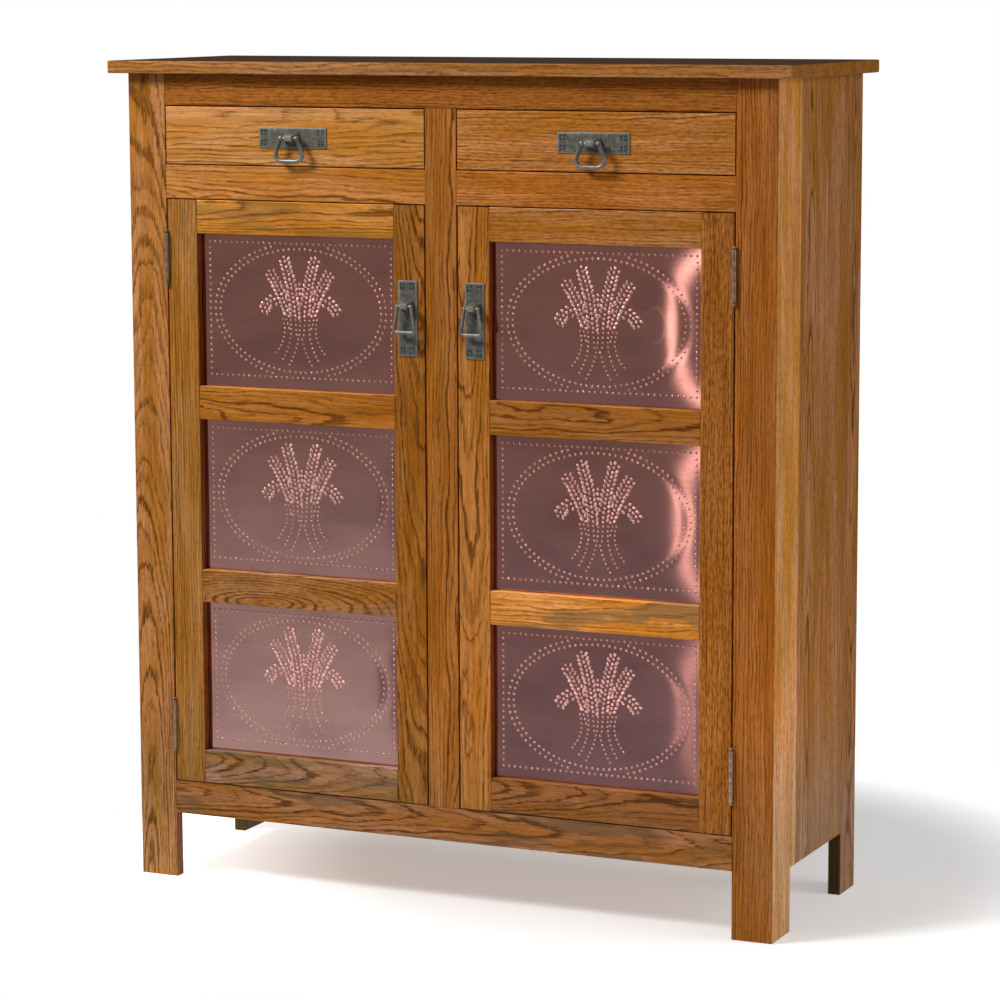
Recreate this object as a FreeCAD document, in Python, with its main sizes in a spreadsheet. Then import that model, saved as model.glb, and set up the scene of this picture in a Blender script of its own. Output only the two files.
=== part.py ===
# A pie safe: an oak cupboard with two drawers over two doors of pierced copper panels.
# Lengths are in millimetres. X runs to the right, Y to the back and Z up, from the middle of the base.
import FreeCAD, Part
import math
import os
import re
import Sketcher
from FreeCAD import Placement, Rotation, Vector

SIZES = [
    ("total_height", 1270, "floor to the upper face of the top board"),
    ("body_width", 1052, "outside of one side panel to the outside of the other"),
    ("body_depth", 372, "front of the face frame to the back edge of the sides"),
    ("top_thickness", 19, "top board"),
    ("side_overhang", 25.4, "top board past each side"),
    ("front_overhang", 19, "top board past the face frame"),
    ("top_edge_radius", 2, "eased edges of the top board"),
    ("side_thickness", 19, "side panels"),
    ("foot_front_depth", 75, "front foot, measured along the side"),
    ("foot_back_depth", 68, "back foot, measured along the side"),
    ("foot_arch_height", 97, "cut-out between the feet of a side"),
    ("frame_thickness", 19, "posts, rails and stile of the face frame"),
    ("post_width", 63.5, "corner posts of the face frame"),
    ("center_stile_width", 51, "upright between the doors"),
    ("top_rail_width", 48, "rail over the drawers"),
    ("drawer_opening_height", 90, "openings for the drawers"),
    ("mid_rail_width", 51, "rails between drawers and doors"),
    ("bottom_rail_width", 52, "rail under the doors"),
    ("floor_clearance", 102, "floor to the lower edge of the bottom rail"),
    ("tenon_length", 20, "tenons of every rail"),
    ("tenon_thickness", 6, "tenons of every rail"),
    ("tenon_shoulder", 8, "wood left beside a tenon at each edge of its rail"),
    ("back_thickness", 6, "plywood back"),
    ("back_rabbet", 9.5, "how far the back lets into each side"),
    ("housing_depth", 6, "grooves that carry the fixed boards in the sides"),
    ("bottom_thickness", 19, "cupboard floor"),
    ("floor_drop", 4, "cupboard floor below the bottom rail's upper edge"),
    ("deck_thickness", 16, "board under the drawers"),
    ("shelf_thickness", 19, "loose shelves"),
    ("lower_shelf_height", 458, "underside of the lower shelf"),
    ("upper_shelf_height", 742, "underside of the upper shelf"),
    ("shelf_end_gap", 1, "shelf to each side panel"),
    ("shelf_setback", 15, "shelf behind the face frame"),
    ("shelf_back_gap", 2, "shelf to the back panel"),
    ("shelf_pin_diameter", 5, "stem of a shelf support"),
    ("shelf_pin_seat", 9, "stem inside the side panel"),
    ("shelf_pin_inset", 45, "support to the nearest long edge of the shelf"),
    ("shelf_tab_length", 10, "tab of a shelf support, out of the side"),
    ("shelf_tab_width", 12, "tab of a shelf support, along the side"),
    ("shelf_tab_thickness", 7, "tab of a shelf support, under the shelf"),
    ("guide_height", 25, "strips beside the drawers"),
    ("kicker_overlap", 20, "strips above the drawer sides, past the opening's edge"),
    ("reveal", 1.6, "gap round each door and drawer front"),
    ("run_clearance", 0.3, "drawer sides over the deck"),
    ("drawer_front_thickness", 19, "drawer fronts"),
    ("drawer_side_thickness", 12, "drawer sides and backs"),
    ("drawer_joint_depth", 9, "drawer sides let into the front"),
    ("drawer_back_housing", 5, "drawer back let into its sides"),
    ("drawer_bottom_thickness", 6, "drawer bottoms"),
    ("drawer_bottom_rise", 10, "drawer bottom above the lower edge of the sides"),
    ("drawer_groove_depth", 6, "groove for the drawer bottom"),
    ("drawer_back_gap", 12, "drawer to the back panel"),
    ("stop_lug_width", 40, "block that stops the drawer from coming out"),
    ("stop_lug_depth", 30, "the same, along the drawer"),
    ("stop_lug_rise", 15, "the same, above the drawer opening"),
    ("stop_lug_overlap", 45, "the same, glued to the drawer back below the opening's top"),
    ("door_thickness", 18.5, "door frames"),
    ("door_stile_width", 51, "door stiles"),
    ("door_rail_width", 51, "door rails"),
    ("rabbet_width", 12.7, "step behind each door opening for a copper panel"),
    ("panel_recess", 12.7, "door face to copper"),
    ("panel_thickness", 0.6, "copper sheet"),
    ("panel_clearance", 0.8, "copper sheet to the side of its step"),
    ("hinge_height", 76, "butt hinges"),
    ("hinge_leaf_width", 16, "hinge leaf, into the depth of the wood"),
    ("hinge_leaf_thickness", 1.5, "hinge leaf"),
    ("hinge_barrel_diameter", 6.4, "hinge knuckles"),
    ("hinge_clearance", 0.3, "hinge knuckles to each other and to the wood"),
    ("hinge_pin_diameter", 3, "hinge pins"),
    ("hinge_inset", 89, "middle of a hinge to the end of its door"),
    ("pin_clearance", 0.06, "running gap round a pin, on the radius"),
    ("finial_diameter", 5.6, "ball ends of the hinge pins"),
    ("screw_diameter", 3, "hinge screws"),
    ("screw_head_diameter", 5.8, "hinge screws"),
    ("screw_length", 16, "hinge screws, past the leaf"),
    ("screw_spacing", 25.4, "hinge screws, along the leaf"),
    ("screw_stagger", 4.5, "hinge screws, from one row to the other across the leaf"),
    ("plate_length", 113, "back plates of the pulls"),
    ("plate_width", 31, "back plates of the pulls"),
    ("plate_thickness", 2, "back plates of the pulls"),
    ("plate_bevel", 1, "sloped border of the back plates"),
    ("boss_reach", 18, "front of a pull's boss from the wood"),
    ("boss_nose_height", 5, "front of a pull's boss"),
    ("pivot_reach", 13.5, "bail pivot from the wood"),
    ("drawer_boss_width", 24, "boss of a drawer pull, at the plate"),
    ("drawer_boss_height", 17, "boss of a drawer pull, at the plate"),
    ("drawer_boss_nose", 7, "boss of a drawer pull, width at the front"),
    ("door_boss_width", 20, "boss of a door pull, at the plate"),
    ("door_boss_height", 16, "boss of a door pull, at the plate"),
    ("door_boss_nose", 6, "boss of a door pull, width at the front"),
    ("door_boss_rise", 19, "boss of a door pull above the middle of its plate"),
    ("door_pull_drop", 168, "door top to the middle of its pull plate"),
    ("door_pull_shift", 2, "middle of a door pull past the middle of its stile, to the panel"),
    ("drawer_pull_drop", 1.5, "middle of a drawer to the middle of its pull"),
    ("drawer_bail_bar", 6.5, "thickness of a drawer bail"),
    ("drawer_bail_top", 26, "width of a drawer bail at its pivot"),
    ("drawer_bail_bottom", 56, "width of a drawer bail between the corners of its grip"),
    ("drawer_bail_drop", 34.3, "pivot to grip of a drawer bail"),
    ("drawer_bail_corner", 9, "lower corners of a drawer bail"),
    ("door_bail_bar", 5, "thickness of a door bail"),
    ("door_bail_top", 21.5, "width of a door bail at its pivot"),
    ("door_bail_bottom", 35, "width of a door bail between the corners of its grip"),
    ("door_bail_drop", 38.7, "pivot to grip of a door bail"),
    ("door_bail_corner", 4.5, "lower corners of a door bail"),
    ("bail_knob", 0.4, "how much the rounded upper ends swell past the bar"),
    ("bail_pin_diameter", 3.6, "pivots at the ends of a bail"),
    ("bail_pin_gap", 3, "between the two pivots, inside the boss"),
    ("bolt_diameter", 4, "bolt through the wood into a pull's boss"),
    ("bolt_engagement", 8, "bolt past the wood, into the boss"),
    ("bolt_head_diameter", 9, "bolt head, inside"),
    ("bolt_head_height", 3, "bolt head, inside"),
    ("catch_reach", 36, "door catch, across"),
    ("catch_lap", 20, "door catch past the edge of the upright"),
    ("catch_height", 16, "door catch"),
    ("catch_depth", 12, "door catch"),
    ("catch_drop", 60, "top of the door opening to the middle of a catch"),
    ("strike_width", 14, "steel plate that a catch holds"),
    ("strike_height", 14, "steel plate that a catch holds"),
    ("strike_thickness", 1.2, "steel plate that a catch holds"),
]

# Planes that several pieces share, each written from the sizes above.
PLACES = {
    "face": "(front_overhang - body_depth) / 2",
    "rear": "(front_overhang + body_depth) / 2",
    "frame_back": "face + frame_thickness",
    "back_front": "rear - back_thickness",
    "side_outer": "body_width / 2",
    "side_inner": "body_width / 2 - side_thickness",
    "opening_outer": "body_width / 2 - post_width",
    "opening_inner": "center_stile_width / 2",
    "opening_middle": "(opening_outer + opening_inner) / 2",
    "top_underside": "total_height - top_thickness",
    "drawer_opening_top": "top_underside - top_rail_width",
    "drawer_opening_bottom": "drawer_opening_top - drawer_opening_height",
    "drawer_middle": "(drawer_opening_top + drawer_opening_bottom) / 2",
    "door_opening_top": "drawer_opening_bottom - mid_rail_width",
    "door_opening_bottom": "floor_clearance + bottom_rail_width",
    "frame_tenon_front": "face + (frame_thickness - tenon_thickness) / 2",
    "frame_tenon_back": "face + (frame_thickness + tenon_thickness) / 2",
    "floor_top": "door_opening_bottom - floor_drop",
    "deck_underside": "drawer_opening_bottom - deck_thickness",
    "shelf_front": "frame_back + shelf_setback",
    "shelf_back": "back_front - shelf_back_gap",
    "door_top": "door_opening_top - reveal",
    "door_bottom": "door_opening_bottom + reveal",
    "door_outer": "opening_outer - reveal",
    "door_inner": "opening_inner + reveal",
    "door_back": "face + door_thickness",
    "door_tenon_front": "face + (panel_recess - tenon_thickness) / 2",
    "door_tenon_back": "face + (panel_recess + tenon_thickness) / 2",
    "light_outer": "door_outer - door_stile_width",
    "light_inner": "door_inner + door_stile_width",
    "light_height": "(door_top - door_bottom - 4 * door_rail_width) / 3",
    "panel_front": "face + panel_recess",
    "panel_back": "panel_front + panel_thickness",
    "hinge_x": "opening_outer - reveal / 2",
    "hinge_y": "face - hinge_barrel_diameter / 2 - hinge_clearance",
    "leaf_front": "face + hinge_clearance",
    "leaf_back": "leaf_front + hinge_leaf_width",
    "drawer_front_top": "drawer_opening_top - reveal",
    "drawer_front_bottom": "drawer_opening_bottom + reveal",
    "drawer_front_back": "face + drawer_front_thickness",
    "drawer_outer": "opening_outer - reveal",
    "drawer_inner": "opening_inner + reveal",
    "drawer_end": "back_front - drawer_back_gap",
    "drawer_side_bottom": "drawer_opening_bottom + run_clearance",
    "drawer_side_front": "drawer_front_back - drawer_joint_depth",
    "drawer_bottom_low": "drawer_side_bottom + drawer_bottom_rise",
    "drawer_bottom_high": "drawer_bottom_low + drawer_bottom_thickness",
    "drawer_back_front": "drawer_end - drawer_side_thickness",
    "plate_front": "face - plate_thickness",
    "pivot_y": "face - pivot_reach",
    "door_pull_x": "door_inner + door_stile_width / 2 + door_pull_shift",
    "drawer_pull_height": "drawer_middle - drawer_pull_drop",
    "door_pull_height": "door_top - door_pull_drop",
    "door_pivot_height": "door_pull_height + door_boss_rise",
    "catch_middle": "door_opening_top - catch_drop",
    "strike_middle": "opening_inner + catch_lap / 2 + reveal",
}

SIZE_NAMES = {alias for alias, number, meaning in SIZES}
HINGE_KNUCKLES = 5
SCREWS_IN_A_LEAF = 3
PANELS_IN_A_DOOR = 3
SIDES = (("left", -1), ("right", 1))

doc = FreeCAD.newDocument("PieSafe")
sheet = doc.addObject("Spreadsheet::Sheet", "Sizes")
for row, (alias, number, meaning) in enumerate(SIZES, start=1):
    sheet.set(f"A{row}", meaning)
    sheet.set(f"B{row}", str(number))
    sheet.setAlias(f"B{row}", alias)
doc.recompute()

pieces = {}


def expand(text):
    """Writes an expression on sizes and places as one on the cells of the sheet."""
    def word(match):
        name = match.group()
        if name in PLACES:
            return f"({expand(PLACES[name])})"
        return f"Sizes.{name}" if name in SIZE_NAMES else name
    return re.sub(r"[a-z][a-z_]*", word, text)


def value(text):
    """The number that an expression comes to."""
    return float(sheet.evalExpression(expand(text)))


def bind(thing, settings):
    """Ties properties of an object to expressions."""
    for name, text in settings.items():
        thing.setExpression(name, expand(str(text)))
    return thing


def mirrored(span, side):
    """A (low, high) pair along X, or its mirror image on the left."""
    low, high = span
    return span if side > 0 else (f"-({high})", f"-({low})")


def signed(text, side):
    """A place along X, or its mirror image on the left."""
    return text if side > 0 else f"-({text})"


def box(x, y, z):
    """A block between (low, high) pairs of expressions along the three axes."""
    block = doc.addObject("Part::Box", "Block")
    for name, axis, (low, high) in (("Length", "x", x), ("Width", "y", y), ("Height", "z", z)):
        bind(block, {name: f"{high} - ({low})", f"Placement.Base.{axis}": low})
    return block


TURNS = {
    "+x": Rotation(Vector(0, 1, 0), 90),
    "-x": Rotation(Vector(0, 1, 0), -90),
    "+y": Rotation(Vector(1, 0, 0), -90),
    "+z": Rotation(),
}


def stand(thing, turn, x, y, z):
    """Turns a round solid from +Z to another axis and puts its start at a point."""
    thing.Placement = Placement(Vector(), TURNS[turn])
    return bind(thing, {"Placement.Base.x": x, "Placement.Base.y": y, "Placement.Base.z": z})


def rod(turn, x, y, z, diameter, length):
    """A round bar from a start point along an axis."""
    cylinder = doc.addObject("Part::Cylinder", "Rod")
    bind(cylinder, {"Radius": f"({diameter}) / 2", "Height": length})
    return stand(cylinder, turn, x, y, z)


def ball(x, y, z, diameter):
    """A ball round a point."""
    sphere = doc.addObject("Part::Sphere", "Ball")
    bind(sphere, {"Radius": f"({diameter}) / 2"})
    return stand(sphere, "+z", x, y, z)


def frustum(front, back, front_x, front_z, back_x, back_z):
    """A block that tapers from its back face to its front face."""
    wedge = doc.addObject("Part::Wedge", "Frustum")
    return bind(wedge, {
        "Ymin": front, "Ymax": back,
        "Xmin": front_x[0], "Xmax": front_x[1], "Zmin": front_z[0], "Zmax": front_z[1],
        "X2min": back_x[0], "X2max": back_x[1], "Z2min": back_z[0], "Z2max": back_z[1],
    })


def cut(base, *tools):
    """A solid with others taken out of it, one after another."""
    for tool in tools:
        step = doc.addObject("Part::Cut", "Cut")
        step.Base = base
        step.Tool = tool
        step.Refine = True
        base = step
    return base


def fuse(*solids):
    """Several solids made one."""
    joined = doc.addObject("Part::MultiFuse", "Joined")
    joined.Shapes = list(solids)
    joined.Refine = True
    return joined


def group(solids):
    """Separate solids kept together as one set."""
    together = doc.addObject("Part::Compound", "Set")
    together.Links = list(solids)
    return together


def piece(name, thing):
    """Names a finished sub-part."""
    thing.Label = name
    pieces[name] = thing
    return thing


def prism(corners, height):
    """An upright body whose plan is a polygon, each corner held by its own two expressions."""
    body = doc.addObject("PartDesign::Body", "Upright")
    plan = body.newObject("Sketcher::SketchObject", "Plan")
    ground = next(plane for plane in body.Origin.OriginFeatures if plane.Role == "XY_Plane")
    plan.AttachmentSupport = [(ground, "")]
    plan.MapMode = "FlatFace"
    points = [Vector(value(x), value(y), 0) for x, y in corners]
    for start, end in zip(points, points[1:] + points[:1]):
        plan.addGeometry(Part.LineSegment(start, end))
    for line, (x, y) in enumerate(corners):
        plan.addConstraint(Sketcher.Constraint("Coincident", line, 2, (line + 1) % len(corners), 1))
        for kind, text in (("DistanceX", x), ("DistanceY", y)):
            number = plan.addConstraint(Sketcher.Constraint(kind, -1, 1, line, 1, value(text)))
            bind(plan, {f"Constraints[{number}]": text})
    pad = body.newObject("PartDesign::Pad", "Height")
    pad.Profile = plan
    bind(pad, {"Length": height})
    return body


def tenon(x, z, front, back):
    """A tenon, or the mortise for it: the same block serves both."""
    return box(x, (front, back), z)


def top_board():
    """The top, flush at the back, with its edges eased."""
    half = "(side_outer + side_overhang)"
    front = "face - front_overhang"
    plan = [(f"-{half}", front), (half, front), (half, "rear"), (f"-{half}", "rear")]
    body = prism(plan, "top_thickness")
    bind(body, {"Placement.Base.z": "top_underside"})
    doc.recompute()
    eased = body.newObject("PartDesign::Fillet", "EasedEdges")
    eased.Base = (body.getObject("Height"), ["Edge1"])
    eased.UseAllEdges = True
    bind(eased, {"Radius": "top_edge_radius"})
    body.Tip = eased
    piece("top_board", body)


def shelf_support_places():
    """Height and depth of the four shelf supports on one side."""
    for height in ("lower_shelf_height", "upper_shelf_height"):
        for depth in ("shelf_front + shelf_pin_inset", "shelf_back - shelf_pin_inset"):
            yield height, depth


def side_panels_and_posts(frame_screws, frame_tenons):
    """Side panels with feet, mitred at the front to the posts of the face frame."""
    inner_rabbet = "side_inner + back_rabbet"
    for name, side in SIDES:
        plan = [("side_outer", "face"), ("side_outer", "rear"), (inner_rabbet, "rear"),
                (inner_rabbet, "back_front"), ("side_inner", "back_front"), ("side_inner", "frame_back")]
        panel = prism([(signed(x, side), y) for x, y in plan], "top_underside")
        through = mirrored(("side_inner", "side_outer"), side)
        housing = mirrored(("side_inner", "side_inner + housing_depth"), side)
        inside = ("frame_back", "back_front")
        between_feet = ("face + foot_front_depth", "rear - foot_back_depth")
        arch = box(through, between_feet, ("0", "foot_arch_height"))
        floor_groove = box(housing, inside, ("floor_top - bottom_thickness", "floor_top"))
        deck_groove = box(housing, inside, ("deck_underside", "drawer_opening_bottom"))
        turn = "+x" if side > 0 else "-x"
        holes = [rod(turn, signed("side_inner", side), depth, f"{height} - shelf_tab_thickness / 2",
                     "shelf_pin_diameter", "shelf_pin_seat") for height, depth in shelf_support_places()]
        piece(f"{name}_side", cut(panel, arch, floor_groove, deck_groove, group(holes)))

        plan = [("side_outer", "face"), ("side_inner", "frame_back"),
                ("opening_outer", "frame_back"), ("opening_outer", "face")]
        post = prism([(signed(x, side), y) for x, y in plan], "top_underside")
        leaf = mirrored(("opening_outer", "opening_outer + hinge_leaf_thickness"), side)
        mortises = [box(leaf, ("face", "leaf_back"), span) for span in hinge_spans()]
        piece(f"{name}_post", cut(post, *frame_tenons[name], *mortises, group(frame_screws[name])))


def hinge_middles():
    """Heights of the two hinges of a door."""
    return "door_bottom + hinge_inset", "door_top - hinge_inset"


def hinge_spans():
    """Heights that the two hinges of a door take up."""
    return [(f"{middle} - hinge_height / 2", f"{middle} + hinge_height / 2") for middle in hinge_middles()]


def rail_tenons(low, high, edges, front, back):
    """Tenons at the two ends of a rail, whose ends and edges are given."""
    z = (f"{edges[0]} + tenon_shoulder", f"{edges[1]} - tenon_shoulder")
    return (tenon((f"{low} - tenon_length", low), z, front, back),
            tenon((high, f"{high} + tenon_length"), z, front, back))


def face_frame():
    """Rails and the centre upright; returns the tenons that go into the posts."""
    depth = ("face", "frame_back")
    tenon_depth = ("frame_tenon_front", "frame_tenon_back")
    in_posts = {"left": [], "right": []}
    wide = ("-(opening_outer)", "opening_outer")
    upright_x = ("-(opening_inner) + tenon_shoulder", "opening_inner - tenon_shoulder")
    upright_ends = (
        tenon(upright_x, ("drawer_opening_top", "drawer_opening_top + tenon_length"), *tenon_depth),
        tenon(upright_x, ("door_opening_bottom - tenon_length", "door_opening_bottom"), *tenon_depth))

    long_rails = (("top_rail", ("drawer_opening_top", "top_underside"), upright_ends[0]),
                  ("bottom_rail", ("floor_clearance", "door_opening_bottom"), upright_ends[1]))
    for name, edges, upright_end in long_rails:
        left, right = rail_tenons(*wide, edges, *tenon_depth)
        in_posts["left"].append(left)
        in_posts["right"].append(right)
        piece(name, cut(fuse(box(wide, depth, edges), left, right), upright_end))

    edges = ("door_opening_top", "drawer_opening_bottom")
    rails = []
    in_upright = []
    for name, side in SIDES:
        span = mirrored(("opening_inner", "opening_outer"), side)
        ends = rail_tenons(*span, edges, *tenon_depth)
        outer, inner = ends if side < 0 else ends[::-1]
        in_posts[name].append(outer)
        in_upright.append(inner)
        rails.append(fuse(box(span, depth, edges), *ends))
    piece("mid_rails", group(rails))

    upright = box(("-(opening_inner)", "opening_inner"), depth,
                  ("door_opening_bottom", "drawer_opening_top"))
    piece("center_stile", cut(fuse(upright, *upright_ends), *in_upright))
    return in_posts


def carcass_boards():
    """Back, cupboard floor, drawer deck, shelves and the strips that guide the drawers."""
    back_half = "(side_inner + back_rabbet)"
    piece("back_panel", box((f"-{back_half}", back_half), ("back_front", "rear"),
                            ("floor_top - bottom_thickness", "top_underside")))
    housed = ("-(side_inner + housing_depth)", "side_inner + housing_depth")
    inside = ("frame_back", "back_front")
    piece("bottom_board", box(housed, inside, ("floor_top - bottom_thickness", "floor_top")))
    piece("drawer_deck", box(housed, inside, ("deck_underside", "drawer_opening_bottom")))

    shelf_half = "(side_inner - shelf_end_gap)"
    shelves = [box((f"-{shelf_half}", shelf_half), ("shelf_front", "shelf_back"),
                   (height, f"{height} + shelf_thickness"))
               for height in ("lower_shelf_height", "upper_shelf_height")]
    piece("shelves", group(shelves))

    guides = ("drawer_opening_bottom", "drawer_opening_bottom + guide_height")
    kickers = ("drawer_opening_top", "top_underside")
    lapped = "opening_inner + kicker_overlap"
    strips = [box(("-(opening_inner)", "opening_inner"), inside, guides),
              box((f"-({lapped})", lapped), inside, kickers)]
    for name, side in SIDES:
        guide_x = mirrored(("opening_outer", "side_inner"), side)
        kicker_x = mirrored(("opening_outer - kicker_overlap", "side_inner"), side)
        strips += [box(guide_x, inside, guides), box(kicker_x, inside, kickers)]
    piece("drawer_runners", group(strips))


def shelf_pins():
    """Metal supports: a stem in the side panel and a tab under the shelf."""
    supports = []
    for name, side in SIDES:
        turn = "+x" if side > 0 else "-x"
        for height, depth in shelf_support_places():
            stem = rod(turn, signed("side_inner", side), depth, f"{height} - shelf_tab_thickness / 2",
                       "shelf_pin_diameter", "shelf_pin_seat")
            tab = box(mirrored(("side_inner - shelf_tab_length", "side_inner"), side),
                      (f"{depth} - shelf_tab_width / 2", f"{depth} + shelf_tab_width / 2"),
                      (f"{height} - shelf_tab_thickness", height))
            supports.append(fuse(stem, tab))
    piece("shelf_pins", group(supports))


def hinge_screw(start, turn, y, z):
    """A countersunk screw, its head flush with a hinge leaf."""
    head = doc.addObject("Part::Cone", "Head")
    bind(head, {"Radius1": "screw_head_diameter / 2", "Radius2": "screw_diameter / 2",
                "Height": "hinge_leaf_thickness"})
    stand(head, turn, start, y, z)
    reach = "hinge_leaf_thickness + screw_length"
    return fuse(head, rod(turn, start, y, z, "screw_diameter", reach))


def leaf_screws(start, turn):
    """The screws of the two leaves on one upright, staggered as on any butt hinge."""
    screws = []
    for middle in hinge_middles():
        for index in range(SCREWS_IN_A_LEAF):
            steps = index - (SCREWS_IN_A_LEAF - 1) / 2
            row = -1 if index % 2 else 1
            y = f"(leaf_front + leaf_back) / 2 + {row} * screw_stagger / 2"
            screws.append(hinge_screw(start, turn, y, f"{middle} + {steps} * screw_spacing"))
    return screws


def hinge_leaf(middle, leaf_x, axis_x, knuckles, screws):
    """One leaf: a plate let into the wood and the knuckles rolled from it round the pin."""
    bottom = f"({middle} - hinge_height / 2)"
    parts = [box(leaf_x, ("leaf_front", "leaf_back"), (bottom, f"{bottom} + hinge_height"))]
    for index in knuckles:
        low = f"{bottom} + hinge_height * {index} / {HINGE_KNUCKLES} + hinge_clearance / 2"
        length = f"hinge_height / {HINGE_KNUCKLES} - hinge_clearance"
        parts.append(rod("+z", axis_x, "hinge_y", low, "hinge_barrel_diameter", length))
        parts.append(box(leaf_x, ("hinge_y", "leaf_front"), (low, f"{low} + {length}")))
    bore = rod("+z", axis_x, "hinge_y", bottom, "hinge_pin_diameter + 2 * pin_clearance", "hinge_height")
    return cut(fuse(*parts), bore, screws)


def hinges():
    """Leaves, pins and screws; returns the screws that each post and door takes."""
    frame_leaves = []
    pins = []
    frame_screws = {}
    door_screws = {}
    for name, side in SIDES:
        axis = signed("hinge_x", side)
        outward, inward = ("+x", "-x") if side > 0 else ("-x", "+x")
        frame_screws[name] = leaf_screws(signed("opening_outer", side), outward)
        door_screws[name] = leaf_screws(signed("door_outer", side), inward)
        frame_holes = group(frame_screws[name])
        door_holes = group(door_screws[name])
        frame_x = mirrored(("opening_outer", "opening_outer + hinge_leaf_thickness"), side)
        door_x = mirrored(("door_outer - hinge_leaf_thickness", "door_outer"), side)
        door_leaves = []
        for middle in hinge_middles():
            frame_leaves.append(hinge_leaf(middle, frame_x, axis, range(0, HINGE_KNUCKLES, 2), frame_holes))
            door_leaves.append(hinge_leaf(middle, door_x, axis, range(1, HINGE_KNUCKLES, 2), door_holes))
            low = f"{middle} - hinge_height / 2 - finial_diameter / 2"
            pin = rod("+z", axis, "hinge_y", low, "hinge_pin_diameter", "hinge_height + finial_diameter")
            high = f"{low} + hinge_height + finial_diameter"
            ends = [ball(axis, "hinge_y", height, "finial_diameter") for height in (low, high)]
            pins.append(fuse(pin, *ends))
        piece(f"{name}_door_hinge_leaves", group(door_leaves))
    piece("frame_hinge_leaves", group(frame_leaves))
    piece("hinge_pins", group(pins))
    piece("frame_hinge_screws", group(frame_screws["left"] + frame_screws["right"]))
    return frame_screws, door_screws


def bolt(x, z, wood_back):
    """The bolt that holds a pull: head inside, end in the boss."""
    start = "face - bolt_engagement"
    shank = rod("+y", x, start, z, "bolt_diameter", f"{wood_back} - ({start})")
    head = rod("+y", x, wood_back, z, "bolt_head_diameter", "bolt_head_height")
    return fuse(shank, head)


def about(middle, width):
    """The (low, high) pair of a width round its middle."""
    return f"{middle} - ({width}) / 2", f"{middle} + ({width}) / 2"


def pull_plate(x, z, across, up, boss, boss_z, fixing):
    """A cast back plate with a tapered boss, bored for the pivots of the bail."""
    width, height, nose = boss
    plate = frustum("plate_front", "face", about(x, f"{across} - 2 * plate_bevel"),
                    about(z, f"{up} - 2 * plate_bevel"), about(x, across), about(z, up))
    hood = frustum("face - boss_reach", "plate_front", about(x, nose), about(boss_z, "boss_nose_height"),
                   about(x, width), about(boss_z, height))
    bore = rod("+x", f"{x} - ({width}) / 2", "pivot_y", boss_z,
               "bail_pin_diameter + 2 * pin_clearance", width)
    return cut(fuse(plate, hood), bore, fixing)


def bail_route(top, bottom, drop, corner):
    """The middle line of a bail: two sloping sides and a level grip, joined by arcs."""
    route = doc.addObject("Sketcher::SketchObject", "Route")
    route.Placement = Placement(Vector(), Rotation(Vector(1, 0, 0), 90))
    shoulders = [Vector(side * value(top) / 2, 0, 0) for name, side in SIDES]
    bends = [Vector(side * value(bottom) / 2, -value(drop), 0) for name, side in SIDES]
    radius = value(corner)
    slope = (shoulders[0] - bends[0]).normalize()
    level = Vector(1, 0, 0)
    half_angle = slope.getAngle(level) / 2
    reach = radius / math.tan(half_angle)
    inset = (slope + level).normalize() * (radius / math.sin(half_angle) - radius)

    def mirror(point):
        return Vector(-point.x, point.y, 0)

    enter = bends[0] + slope * reach
    turn = bends[0] + inset
    leave = bends[0] + level * reach
    route.addGeometry([
        Part.LineSegment(shoulders[0], enter),
        Part.Arc(enter, turn, leave),
        Part.LineSegment(leave, mirror(leave)),
        Part.Arc(mirror(leave), mirror(turn), mirror(enter)),
        Part.LineSegment(mirror(enter), shoulders[1]),
    ])
    for edge in range(4):
        route.addConstraint(Sketcher.Constraint("Tangent", edge, 2, edge + 1, 1))
    for line, end, bend, (name, side) in zip((0, 4), (1, 2), bends, SIDES):
        corner_point = route.addGeometry(Part.Point(bend), True)
        route.addConstraint(Sketcher.Constraint("PointOnObject", line, end, -1))
        for edge in (line, 2):
            route.addConstraint(Sketcher.Constraint("PointOnObject", corner_point, 1, edge))
        held = (
            ("DistanceX", line, end, f"{side} * {top} / 2"),
            ("DistanceX", corner_point, 1, f"{side} * {bottom} / 2"),
            ("DistanceY", corner_point, 1, f"-{drop}"),
        )
        for kind, item, point, text in held:
            number = route.addConstraint(Sketcher.Constraint(kind, -1, 1, item, point, value(text)))
            bind(route, {f"Constraints[{number}]": text})
    for arc in (1, 3):
        number = route.addConstraint(Sketcher.Constraint("Radius", arc, radius))
        bind(route, {f"Constraints[{number}]": corner})
    return route


def bail(kind, x, z):
    """A bent bar that hangs from two pivots in the boss of its pull."""
    sizes = ("bar", "top", "bottom", "drop", "corner")
    bar, top, bottom, drop, corner = (f"{kind}_bail_{size}" for size in sizes)
    ring = doc.addObject("Part::Circle", "Ring")
    ring.Placement = Placement(Vector(), Rotation(Vector(0, 1, 0), 1))
    bind(ring, {"Radius": f"{bar} / 2", "Placement.Base.x": f"-{top} / 2",
                "Placement.Rotation.Angle": f"atan(({bottom} - {top}) / (2 * {drop}))"})
    sweep = doc.addObject("Part::Sweep", "Bar")
    sweep.Sections = [ring]
    sweep.Spine = (bail_route(top, bottom, drop, corner), [f"Edge{number}" for number in range(1, 6)])
    sweep.Solid = True
    solids = [sweep]
    for name, side in SIDES:
        shoulder = signed(f"{top} / 2", side)
        solids.append(ball(shoulder, "0", "0", f"{bar} + 2 * bail_knob"))
        solids.append(rod("+x" if side > 0 else "-x", signed("bail_pin_gap / 2", side), "0", "0",
                          "bail_pin_diameter", f"({top} - bail_pin_gap) / 2"))
    hanging = fuse(*solids)
    return bind(hanging, {"Placement.Base.x": x, "Placement.Base.y": "pivot_y", "Placement.Base.z": z})


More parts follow.
